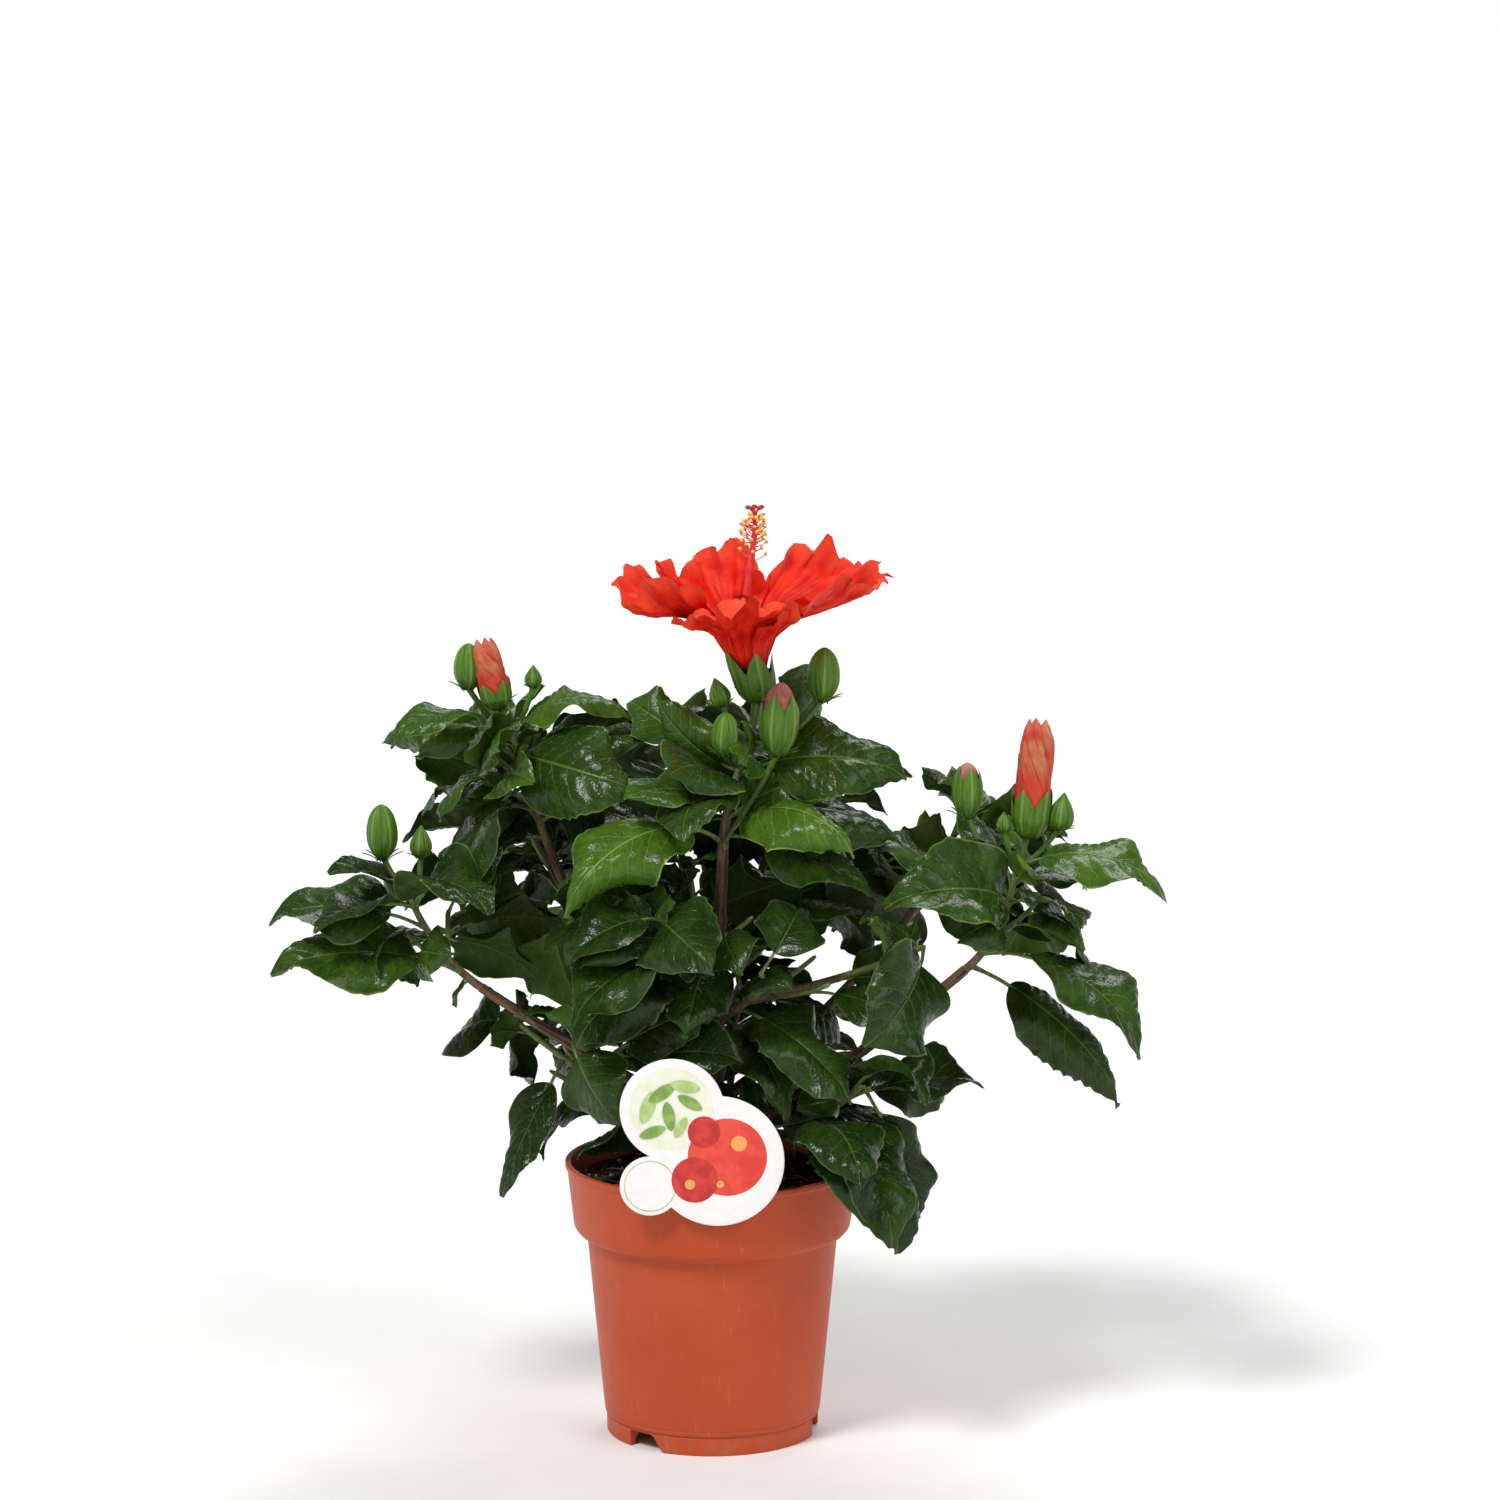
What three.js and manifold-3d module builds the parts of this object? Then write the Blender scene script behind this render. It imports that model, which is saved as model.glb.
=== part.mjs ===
// Hibiscus shrub in its nursery pot, in millimetres, +Z up, front towards -Y.
// The origin is the centre of the pot's flat underside.
import * as THREE from 'three';
import { mergeVertices } from 'three/addons/utils/BufferGeometryUtils.js';
import Module from 'manifold-3d';

const wasm = await Module();
wasm.setup();

const V = (x, y, z) => new THREE.Vector3(x, y, z);
const UP = V(0, 0, 1);
const DEGREE = Math.PI / 180;

// Driving dimensions
const CLEAR = 0.3;            // running gap between neighbouring solids
const SEAM_SLIVER = 0.3;
const POT_HEIGHT = 122;
const RIM_RADIUS = 65;        // outside of the band's lip
const BAND_RADIUS = 61.5;     // outside of the band, just above its rounded foot
const BAND_FOOT = 90;         // height where the band steps in to the body
const BODY_RADIUS = 55.4;     // outside of the body, under the band
const BASE_RADIUS = 46.9;
const POT_WALL = 1.5;
const SKIRT_HEIGHT = 9;       // the raised floor sits this high inside the foot
const CENTRE_FOOT = 12;       // radius of the flat foot in the middle of the underside
const POT_SIDES = 32;
const SOIL_HEIGHT = 112;
const NOTCH_WIDTH = 19;       // the three drainage notches in the foot
const NOTCH_HEADING = 232 * DEGREE;
const TRUNK_TIP = V(4.9, -5, 262);
const TRUNK_BEND = V(2, -6, 190);
const TRUNK_FOOT = V(2, 0, SOIL_HEIGHT + CLEAR);

// Foliage rule
const PLANT_AXIS = V(4, 0, 0);
const GOLDEN = 137.5 * DEGREE;
const FACE_UP = 0.62;         // how far the upper side of a leaf looks up
const FACE_OUT = 0.78;        // and how far it looks away from the plant's axis
const LEAF_WIDTH = 0.74;      // blade width over blade length
const PETIOLE_SHARE = 0.2;    // of a leaf's length
const PETIOLE_RADIUS = 0.95;
const BLADE_THICK = 0.6;      // half the thickness along the midrib
const BLADE_ROOM = 2.2;       // free space kept on each side of a blade
const NAMED_ROOM = 1.2;       // a named leaf may come this close to what is there
const NAMED_STEP = 5 * DEGREE; // and is turned in such steps until it fits
const STALK_ROOM = 1.4;       // and round a petiole or twig
const STEM_STEP = 3.5;        // balls along a limb stand this far apart
const TWIG_RADIUS = [1.5, 1.0];
const TWIG_SAG = 3;
const TRIES = 60;             // for each leaf and twig before it is skipped
const OWN_SHARE = 0.8;       // leaves of one mass may come this much closer to each other
const LATE_SHRINK = 0.35;     // later tries ask for smaller leaves

// Small integer random numbers, the same for the same seed
function makeRandom(seed) {
  let state = seed >>> 0;
  return () => {
    state = (state + 0x6D2B79F5) >>> 0;
    let t = state;
    t = Math.imul(t ^ (t >>> 15), t | 1);
    t ^= t + Math.imul(t ^ (t >>> 7), t | 61);
    return ((t ^ (t >>> 14)) >>> 0) / 4294967296;
  };
}

// Solids from plain vertices and triangles
function closedGeometry(points, faces) {
  let volume = 0;
  for (const [a, b, c] of faces) {
    volume += points[a].dot(V(0, 0, 0).crossVectors(points[b], points[c]));
  }
  const index = volume > 0 ? faces.flat() : faces.map(([a, b, c]) => [a, c, b]).flat();
  const geometry = new THREE.BufferGeometry();
  const coordinates = points.flatMap((p) => [p.x, p.y, p.z]);
  geometry.setAttribute('position', new THREE.Float32BufferAttribute(coordinates, 3));
  geometry.setIndex(index);
  return geometry;
}

// A skin over rings of equal size; an end that is one point closes to it, any other end is capped.
// Where a thin sheet has its two rims at the even corners, its quads are split alike above and below.
function loft(rings, tip = null, isSheet = false) {
  const sides = rings[0].length;
  const points = rings.flat();
  const faces = [];
  for (let k = 0; k + 1 < rings.length; k++) {
    for (let i = 0; i < sides; i++) {
      const j = (i + 1) % sides;
      const a = k * sides;
      const b = a + sides;
      if (isSheet && i % 2) faces.push([a + i, a + j, b + i], [a + j, b + j, b + i]);
      else faces.push([a + i, a + j, b + j], [a + i, b + j, b + i]);
    }
  }
  for (let i = 1; i + 1 < sides; i++) faces.push([0, i + 1, i]);
  const last = (rings.length - 1) * sides;
  if (tip) {
    points.push(tip);
    for (let i = 0; i < sides; i++) faces.push([last + i, last + (i + 1) % sides, points.length - 1]);
  } else {
    for (let i = 1; i + 1 < sides; i++) faces.push([last, last + i, last + i + 1]);
  }
  return closedGeometry(points, faces);
}

// A round tapering limb along points, with one radius for each point
function limbGeometry(points, radii, sides) {
  const rings = [];
  let side = null;
  points.forEach((p, k) => {
    const before = points[Math.max(0, k - 1)];
    const after = points[Math.min(points.length - 1, k + 1)];
    const along = after.clone().sub(before).normalize();
    if (!side) side = V(0, 0, 0).crossVectors(along, Math.abs(along.z) > 0.9 ? V(1, 0, 0) : UP);
    side.addScaledVector(along, -side.dot(along)).normalize();
    const other = V(0, 0, 0).crossVectors(along, side);
    rings.push(Array.from({ length: sides }, (_, i) => {
      const turn = (i / sides) * 2 * Math.PI;
      return p.clone()
        .addScaledVector(side, radii[k] * Math.cos(turn))
        .addScaledVector(other, radii[k] * Math.sin(turn));
    }));
  });
  return loft(rings);
}

function solidFrom(geometry) {
  const plain = geometry.clone();
  plain.deleteAttribute('normal');
  plain.deleteAttribute('uv');
  const merged = mergeVertices(plain, 1e-4);
  return new wasm.Manifold(new wasm.Mesh({
    numProp: 3,
    vertProperties: Float32Array.from(merged.attributes.position.array),
    triVerts: Uint32Array.from(merged.index.array),
  }));
}

function geometryFrom(solid) {
  const mesh = solid.getMesh();
  const geometry = new THREE.BufferGeometry();
  geometry.setAttribute('position', new THREE.Float32BufferAttribute(mesh.vertProperties, 3));
  geometry.setIndex(Array.from(mesh.triVerts));
  geometry.computeVertexNormals();
  return geometry;
}

// The largest piece by itself: fills any hollow and drops loose scraps
function largest(solid) {
  return solid.decompose().reduce((best, piece) => (piece.volume() > best.volume() ? piece : best));
}

// Fuses solids and leaves out the slivers along their seams
function join(solids) {
  const whole = largest(solids.reduce((sum, solid) => sum.add(solid)));
  return largest(whole.simplify(SEAM_SLIVER));
}

// A lathe profile given as [radius, height] pairs, turned about +Z
function turned(profile, sides) {
  const geometry = new THREE.LatheGeometry(profile.map(([r, z]) => new THREE.Vector2(r, z)), sides);
  geometry.rotateX(Math.PI / 2);
  return geometry;
}

// Stems are quadratic curves through start, bend and tip
function stemPoint(stem, t) {
  const s = 1 - t;
  return V(0, 0, 0)
    .addScaledVector(stem.start, s * s)
    .addScaledVector(stem.bend, 2 * s * t)
    .addScaledVector(stem.tip, t * t);
}

function stemPoints(stem, steps) {
  return Array.from({ length: steps + 1 }, (_, k) => stemPoint(stem, k / steps));
}

function stemGeometry(stem, steps, sides) {
  const [thick, thin] = stem.radius;
  const radii = Array.from({ length: steps + 1 }, (_, k) => thick + (thin - thick) * (k / steps));
  return limbGeometry(stemPoints(stem, steps), radii, sides);
}

// Leaves: an arc from the root to the tip, the petiole first and then the blade
function makeLeaf(root, reach, choice, random) {
  const along = reach.clone().normalize();
  const middle = root.clone().addScaledVector(reach, 0.5);
  const out = V(middle.x - PLANT_AXIS.x, middle.y - PLANT_AXIS.y, 0).normalize();
  const face = V(0, 0, FACE_UP).addScaledVector(out, FACE_OUT);
  face.addScaledVector(along, -face.dot(along)).normalize();
  const across = V(0, 0, 0).crossVectors(along, face);
  const jitter = (spread) => (random() * 2 - 1) * spread;
  const roll = (choice.roll ?? 0) * DEGREE + jitter(choice.roll === undefined ? 0.45 : 0.08);
  const normal = face.clone().multiplyScalar(Math.cos(roll)).addScaledVector(across, Math.sin(roll));
  return {
    root,
    along,
    normal,
    side: V(0, 0, 0).crossVectors(along, normal),
    chord: reach.length(),
    bend: (choice.bend ?? 38 + jitter(16)) * DEGREE,
    width: (choice.width ?? LEAF_WIDTH) * (1 + jitter(0.07)),
    petiole: PETIOLE_SHARE * (1 + jitter(0.25)),
    fold: 0.2 + jitter(0.22),
    cup: -0.35 + jitter(0.5),
    twist: jitter(0.5),
    sway: jitter(0.1),
    wave: 0.16 + random() * 0.16,
    waves: 1.1 + random() * 0.9,
    phase: random() * 2 * Math.PI,
  };
}

function leafArc(leaf, q) {
  const radius = leaf.chord / (2 * Math.sin(leaf.bend));
  const angle = leaf.bend * (1 - 2 * q);
  const point = leaf.root.clone()
    .addScaledVector(leaf.along, radius * (Math.sin(leaf.bend) - Math.sin(angle)))
    .addScaledVector(leaf.normal, radius * (Math.cos(angle) - Math.cos(leaf.bend)));
  const normal = leaf.normal.clone()
    .multiplyScalar(Math.cos(angle))
    .addScaledVector(leaf.along, -Math.sin(angle));
  return { point, normal, length: 2 * radius * leaf.bend };
}

function bladeProfile(u) {
  return 2.74 * u ** 0.55 * (1 - u);
}

// A point of the blade: u runs from its base to its tip, v from one edge over the midrib to the other
function bladePoint(leaf, u, v) {
  const arc = leafArc(leaf, leaf.petiole + (1 - leaf.petiole) * u);
  const blade = arc.length * (1 - leaf.petiole);
  const half = 0.5 * leaf.width * blade * bladeProfile(u);
  const cup = Math.abs(leaf.cup) < 0.02 ? 0.02 : leaf.cup;
  const reach = Math.abs(v);
  let sideways = Math.sign(v) * half * (Math.sin(leaf.fold + cup * reach) - Math.sin(leaf.fold)) / cup;
  let lift = half * (Math.cos(leaf.fold) - Math.cos(leaf.fold + cup * reach)) / cup;
  lift += half * leaf.wave * v * v * Math.sin(2 * Math.PI * leaf.waves * u + leaf.phase + (v > 0 ? 0 : 2));
  const twist = leaf.twist * u;
  [sideways, lift] = [
    sideways * Math.cos(twist) - lift * Math.sin(twist),
    sideways * Math.sin(twist) + lift * Math.cos(twist),
  ];
  return arc.point
    .addScaledVector(leaf.side, sideways + leaf.sway * blade * u * u)
    .addScaledVector(arc.normal, lift);
}

const BLADE_STATIONS = [0.13, 0.42, 0.76];

function leafGeometry(leaf) {
  const rings = [0, leaf.petiole].map((q) => {
    const arc = leafArc(leaf, q);
    return [[-1, 0], [0, 1], [1, 0], [0, -1]].map(([s, n]) => arc.point.clone()
      .addScaledVector(leaf.side, s * PETIOLE_RADIUS)
      .addScaledVector(arc.normal, n * PETIOLE_RADIUS));
  });
  for (const u of BLADE_STATIONS) {
    const arc = leafArc(leaf, leaf.petiole + (1 - leaf.petiole) * u);
    const rib = bladePoint(leaf, u, 0);
    rings.push([
      bladePoint(leaf, u, -1),
      rib.clone().addScaledVector(arc.normal, BLADE_THICK),
      bladePoint(leaf, u, 1),
      rib.clone().addScaledVector(arc.normal, -BLADE_THICK),
    ]);
  }
  return loft(rings, bladePoint(leaf, 1, 0), true);
}

// Room that is taken: groups of balls along limbs, petioles and buds, and all over the blades
const taken = [];

function ballAt(point, radius) {
  return { x: point.x, y: point.y, z: point.z, radius };
}

function apart(a, b, room) {
  const dx = a.x - b.x;
  const dy = a.y - b.y;
  const dz = a.z - b.z;
  return dx * dx + dy * dy + dz * dz >= room * room;
}

// The ball round a whole group, for a quick first test
function groupBall(balls) {
  const centre = balls[Math.floor(balls.length / 2)];
  const radius = Math.max(...balls.map((ball) => (
    Math.hypot(ball.x - centre.x, ball.y - centre.y, ball.z - centre.z) + ball.radius)));
  return { x: centre.x, y: centre.y, z: centre.z, radius };
}

function take(balls, mass, isStem) {
  taken.push({ balls, mass, isStem, whole: groupBall(balls) });
}

function blocked(balls, mass, byOwnStems) {
  const whole = groupBall(balls);
  return taken.some((group) => {
    if (!byOwnStems && group.isStem && group.mass === mass) return false;
    if (apart(whole, group.whole, whole.radius + group.whole.radius)) return false;
    const share = group.mass === mass ? OWN_SHARE : 1;
    return balls.some((ball) => group.balls.some((other) => (
      !apart(ball, other, share * (ball.radius + other.radius)))));
  });
}

const BLADE_ROWS = [0.06, 0.16, 0.27, 0.38, 0.49, 0.6, 0.71, 0.82, 0.92, 1];
const BLADE_COLUMNS = [-0.95, -0.63, -0.31, 0, 0.31, 0.63, 0.95];
const PETIOLE_SHARES = [0.3, 0.5, 0.7, 0.9];

function leafBalls(leaf, room) {
  const blade = BLADE_ROWS.flatMap((u) => BLADE_COLUMNS.map((v) => ballAt(bladePoint(leaf, u, v), room)));
  const petiole = PETIOLE_SHARES.map((share) => ballAt(leafArc(leaf, share * leaf.petiole).point, STALK_ROOM));
  return { blade, petiole };
}

const TAG_ROOM = { low: V(-43, -76, 100), high: V(35, -61, 187) };

function inside(ball, low, high) {
  return ['x', 'y', 'z'].every((axis) => ball[axis] > low[axis] && ball[axis] < high[axis]);
}

// The pot with its soil, and the tag, are kept clear too
function hitsPot(ball) {
  if (inside(ball, TAG_ROOM.low, TAG_ROOM.high)) return true;
  if (ball.z > POT_HEIGHT + 4) return false;
  const r = Math.hypot(ball.x, ball.y);
  if (r > RIM_RADIUS + 4) return false;
  return r > RIM_RADIUS - 7 || ball.z < SOIL_HEIGHT + 4;
}

function leafFits(leaf, shoot, named) {
  const { blade, petiole } = leafBalls(leaf, named ? NAMED_ROOM : BLADE_ROOM);
  const [low, high] = shoot.space;
  if (blade.some((ball) => !inside(ball, low, high) || hitsPot(ball))) return false;
  return !blocked(blade, shoot.name, !named) && !blocked(petiole, shoot.name, false);
}

function takeLeaf(leaf, shoot) {
  const { blade, petiole } = leafBalls(leaf, BLADE_ROOM);
  take(blade, shoot.name, false);
  take(petiole, shoot.name, true);
}

function takeStem(stem, mass) {
  const [thick, thin] = stem.radius;
  const steps = Math.ceil(stem.start.distanceTo(stem.tip) / STEM_STEP);
  take(Array.from({ length: steps + 1 }, (_, k) => (
    ballAt(stemPoint(stem, k / steps), thick + (thin - thick) * (k / steps) + 0.7))), mass, true);
}

// The trunk, and the boughs that leave it at a height, each through its bend to its tip
const trunk = { start: TRUNK_FOOT, bend: TRUNK_BEND, tip: TRUNK_TIP, radius: [3.3, 2.6] };

function onTrunk(height) {
  let low = 0;
  let high = 1;
  for (let k = 0; k < 30; k++) {
    const middle = (low + high) / 2;
    if (stemPoint(trunk, middle).z < height) low = middle;
    else high = middle;
  }
  return stemPoint(trunk, low);
}

const BOUGHS = {
  left: { height: 138, bend: V(-45, -4, 162), tip: V(-101, -8, 201), radius: [2.9, 2.2] },
  upper_left: { height: 166, bend: V(-50, 12, 200), tip: V(-72, 20, 258), radius: [2.7, 2.0] },
  right: { height: 128, bend: V(57, -6, 162), tip: V(111, -8, 209), radius: [2.9, 2.2] },
  back_right: { height: 148, bend: V(34, 14, 166), tip: V(80, 38, 214), radius: [2.6, 1.9] },
  back_left: { height: 152, bend: V(-28, 30, 176), tip: V(-58, 62, 216), radius: [2.6, 1.9] },
  back: { height: 160, bend: V(12, 36, 182), tip: V(20, 66, 226), radius: [2.6, 1.9] },
};

// Each mass of foliage: the limb that carries it, at its tip or at a height on the trunk with its own bend,
// the tip of its stem, how many leaves and twigs the rule adds, the space that it keeps to,
// its named leaves [place on the stem, reach of the tip, choices] and its buds
const SHOOTS = [
  {
    name: 'top', bough: 'trunk', tip: V(15, -8, 306),
    seed: 14, leaves: 6, twigs: 0, space: [V(-75, -95, 232), V(102, 75, 345)],
    named: [
      [0.05, V(-73, -42, -22), { roll: -20, bend: 55, width: 0.6 }],
      [0.45, V(-44, -36, 10), { roll: -12, width: 0.78, bend: 25 }],
      [0.85, V(-14, -42, 10), { roll: -20, width: 0.62, bend: 25 }],
      [0.8, V(-38, 8, 30), { roll: -40, width: 0.7, bend: 25 }],
      [0.75, V(76, -12, 2), { roll: 35, bend: 40 }],
      [0.3, V(49, -24, 26), { roll: 30, width: 0.55 }],
      [0.02, V(66, -52, 10), { roll: 15, bend: 48 }],
      [0.15, V(68, -12, -26), { roll: 20 }],
    ],
    buds: [
      { at: 0.1, base: V(28.3, -25, 306), tilt: [0.06, 0], length: 33, radius: 8.6 },
      { at: 0.6, base: V(47.9, -10, 327.5), tilt: [0.05, 0], length: 24, radius: 7 },
      { at: 0.95, base: V(5, -12, 326), tilt: [-0.3, 0], length: 13, radius: 4.6 },
      { at: 0.85, base: V(5.5, -30, 307), tilt: [0.05, -0.1], length: 19.5, radius: 5.8 },
    ],
  },
  {
    name: 'upper_left', bough: 'upper_left', tip: V(-88, 14, 312),
    seed: 24, leaves: 6, twigs: 1, space: [V(-150, -62, 222), V(-14, 80, 334)],
    named: [
      [0.55, V(-26, -42, -42), { roll: -8, bend: 32 }],
      [0.1, V(-38, -30, -27), { roll: -20, bend: 40 }],
      [0.9, V(-54, -24, 2), { roll: -25, bend: 50, width: 0.5 }],
      [0.8, V(55, -46, -11), { roll: 20, bend: 40, width: 0.8 }],
      [0.85, V(-9, -44, 4), { roll: 0, bend: 30, width: 0.8 }],
      [0.95, V(54, -6, 11), { roll: 20, bend: 50, width: 0.6 }],
      [0.75, V(8, -24, 36), { roll: 0, width: 0.6, bend: 25 }],
    ],
    buds: [
      { at: 0.9, base: V(-106.7, 10, 330), tilt: [0.02, 0], length: 20.5, radius: 6.3 },
      { at: 0.97, base: V(-93, 9, 322), tilt: [-0.22, -0.1], length: 31, radius: 6.6, spent: true },
      { at: 0.95, base: V(-78, 10, 331), tilt: [0, 0], length: 10, radius: 3.8 },
    ],
  },
  {
    name: 'left', bough: 'left', tip: V(-134, -10, 247),
    seed: 39, leaves: 6, twigs: 1, space: [V(-198, -72, 176), V(-58, 60, 272)],
    named: [
      [0.2, V(-84, -17, 3), { roll: -38, bend: 32, width: 0.7 }],
      [0.85, V(-36, -14, 18), { roll: -35, bend: 30, width: 0.85 }],
      [0.95, V(-6, -38, 20), { roll: 0, bend: 20, width: 0.7 }],
      [0.12, V(36, -34, 4), { roll: -120, bend: 50, width: 0.8 }],
      [0.1, V(-6, -14, -9), { bend: 40 }],
      [0.3, V(48, -14, -8), { roll: 30 }],
    ],
    buds: [
      { at: 0.9, base: V(-143.3, -10, 258), tilt: [-0.02, 0], length: 24.5, radius: 6.7 },
      { at: 0.8, base: V(-126.7, -10, 259), tilt: [0.02, 0], length: 14.5, radius: 4.8 },
    ],
  },
  {
    name: 'right', bough: 'right', tip: V(133, -10, 256),
    seed: 41, leaves: 6, twigs: 1, space: [V(60, -72, 136), V(202, 70, 300)],
    named: [
      [0.7, V(-57, -36, 12), { roll: -25, bend: 48 }],
      [0.6, V(-22, -42, -2), { roll: -10, bend: 30, width: 0.7 }],
      [0.7, V(32, -42, -4), { roll: 18, bend: 30, width: 0.9 }],
      [0.95, V(67, -18, -12), { roll: 28, bend: 52, width: 0.62 }],
      [0.85, V(36, 20, -6), {}],
      [0.05, V(69, -8, -61), { roll: 35, bend: 28, width: 0.56 }],
      [0.8, V(-24, 30, 32), { width: 0.8 }],
    ],
    buds: [
      { at: 0.75, base: V(111.2, -10, 276.5), tilt: [0, 0], length: 25, radius: 6.7 },
      { at: 0.98, base: V(138, -10, 267.8), tilt: [0.08, 0], length: 52, radius: 8, spent: true },
      { at: 0.95, base: V(151, -10, 271), tilt: [0.15, 0], length: 17, radius: 5.8 },
      { at: 0.95, base: V(127, -14, 271), tilt: [0, 0], length: 9, radius: 3.4 },
    ],
  },
  {
    name: 'mid_right', bough: 'trunk', height: 192, bend: V(52, -22, 204), tip: V(92, -22, 222),
    seed: 53, leaves: 8, twigs: 1, space: [V(18, -95, 165), V(132, 15, 268)],
    named: [
      [0.8, V(-8, -40, 28), { roll: 0, bend: 30, width: 0.85 }],
      [1.0, V(-26, -46, -34), { roll: -25, bend: 25, width: 0.95 }],
      [0.15, V(51, -36, 24), { roll: 15, bend: 25 }],
    ],
  },
  {
    name: 'front_left', bough: 'trunk', height: 212, bend: V(-10, -20, 222), tip: V(-24, -32, 238),
    seed: 67, leaves: 9, twigs: 1, space: [V(-90, -112, 166), V(18, 2, 282)],
    named: [
      [0.35, V(-56, -50, -22), { roll: -10, bend: 30, width: 0.8 }],
      [0.1, V(-62, -30, -31), { roll: -12, bend: 30, width: 0.75 }],
      [0.9, V(-40, -24, -16), { roll: -15, bend: 42 }],
      [0.1, V(-30, -44, -24), { roll: -10, bend: 30, width: 0.8 }],
      [0.5, V(4, -24, 10), { bend: 30, width: 0.9 }],
      [0.8, V(-5, 8, 18), { roll: -20 }],
    ],
  },
  {
    name: 'front_right', bough: 'trunk', height: 186, bend: V(16, -20, 196), tip: V(28, -34, 212),
    seed: 75, leaves: 9, twigs: 1, space: [V(-8, -112, 128), V(104, 2, 258)],
    named: [
      [0.3, V(48, -42, -34), { roll: 10, bend: 30, width: 0.68 }],
      [0.1, V(32, -38, -36), { roll: 10, bend: 25, width: 0.8 }],
      [0.5, V(14, -38, 12), { roll: 20, bend: 45, width: 0.7 }],
      [0.95, V(33, -10, 14), { roll: 20 }],
    ],
  },
  {
    name: 'low_left', bough: 'trunk', height: 158, bend: V(-28, -18, 166), tip: V(-60, -28, 180),
    seed: 83, leaves: 8, twigs: 1, space: [V(-95, -112, 116), V(30, 15, 208)],
    named: [
      [1.0, V(22, -30, -32), { roll: 10, bend: 25, width: 1.0 }],
      [0.3, V(-4, -34, -2), { roll: 0, bend: 25, width: 0.95 }],
    ],
  },
  {
    name: 'low_right', bough: 'trunk', height: 122, bend: V(36, -18, 134), tip: V(66, -22, 160),
    seed: 97, leaves: 6, twigs: 1, space: [V(12, -104, 86), V(132, 50, 186)],
    named: [
      [1.0, V(28, 8, -62), { roll: 60, bend: 20, width: 0.45 }],
      [0.55, V(54, -42, -39), { roll: 15, bend: 40, width: 0.68 }],
      [0.5, V(22, -62, -44), { roll: 5, bend: 58, width: 0.68 }],
      [0.9, V(44, 30, -5), { roll: 0, width: 0.8 }],
    ],
  },
  {
    name: 'skirt_left', bough: 'trunk', height: 124, bend: V(-42, 8, 146), tip: V(-88, 6, 184),
    seed: 101, leaves: 6, twigs: 1, space: [V(-136, -45, 96), V(-8, 80, 196)],
    named: [
      [1.0, V(8, 18, -36), { roll: 0, width: 0.95 }],
      [0.97, V(-28, 28, -18), { roll: -20, width: 0.85 }],
      [0.75, V(-26, -18, -60), { roll: -50, bend: 15, width: 0.4 }],
      [0.5, V(-34, 2, -30), { roll: 0, bend: 35, width: 0.35 }],
    ],
  },
  {
    name: 'centre', bough: 'trunk', height: 176, bend: V(-4, 12, 204), tip: V(-10, 18, 248),
    seed: 112, leaves: 9, twigs: 2, space: [V(-82, -42, 148), V(84, 82, 296)], named: [],
  },
  {
    name: 'back_left', bough: 'back_left', tip: V(-92, 100, 268),
    seed: 113, leaves: 8, twigs: 2, space: [V(-165, 14, 140), V(-5, 178, 312)], named: [],
  },
  {
    name: 'back_right', bough: 'back_right', tip: V(112, 70, 264),
    seed: 127, leaves: 7, twigs: 2, space: [V(28, 4, 150), V(172, 160, 304)], named: [],
  },
  {
    name: 'back', bough: 'back', tip: V(30, 104, 286),
    seed: 131, leaves: 8, twigs: 2, space: [V(-62, 28, 160), V(92, 188, 326)], named: [],
  },
  {
    name: 'back_low', bough: 'trunk', height: 130, bend: V(8, 34, 142), tip: V(10, 66, 160),
    seed: 149, leaves: 8, twigs: 2, space: [V(-95, 12, 112), V(104, 150, 208)], named: [],
  },
];

function heading(turn, rise, length) {
  const level = length * Math.cos(rise);
  return V(level * Math.cos(turn), level * Math.sin(turn), length * Math.sin(rise));
}

// Leaves by the rule, round a stem by the golden angle, rising near the tip and hanging lower down
function growLeaves(shoot, stem, count, seed, from) {
  const grown = [];
  for (let i = 0; i < count; i++) {
    const random = makeRandom(seed * 1000 + i);
    for (let attempt = 0; attempt < TRIES; attempt++) {
      const t = Math.min(1, from + (1 - from) * ((i + 0.3 + 0.6 * random()) / count));
      const turn = seed + (i + attempt * 0.37) * GOLDEN + (random() - 0.5) * 0.5;
      const rise = (-38 + 62 * t + (random() - 0.5) * 44) * DEGREE;
      const length = (84 - 22 * t) * (0.82 + 0.36 * random()) * (1 - LATE_SHRINK * (attempt / TRIES));
      const leaf = makeLeaf(stemPoint(stem, t), heading(turn, rise, length), {}, random);
      if (!leafFits(leaf, shoot, false)) continue;
      takeLeaf(leaf, shoot);
      grown.push(leaf);
      break;
    }
  }
  return grown;
}

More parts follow.
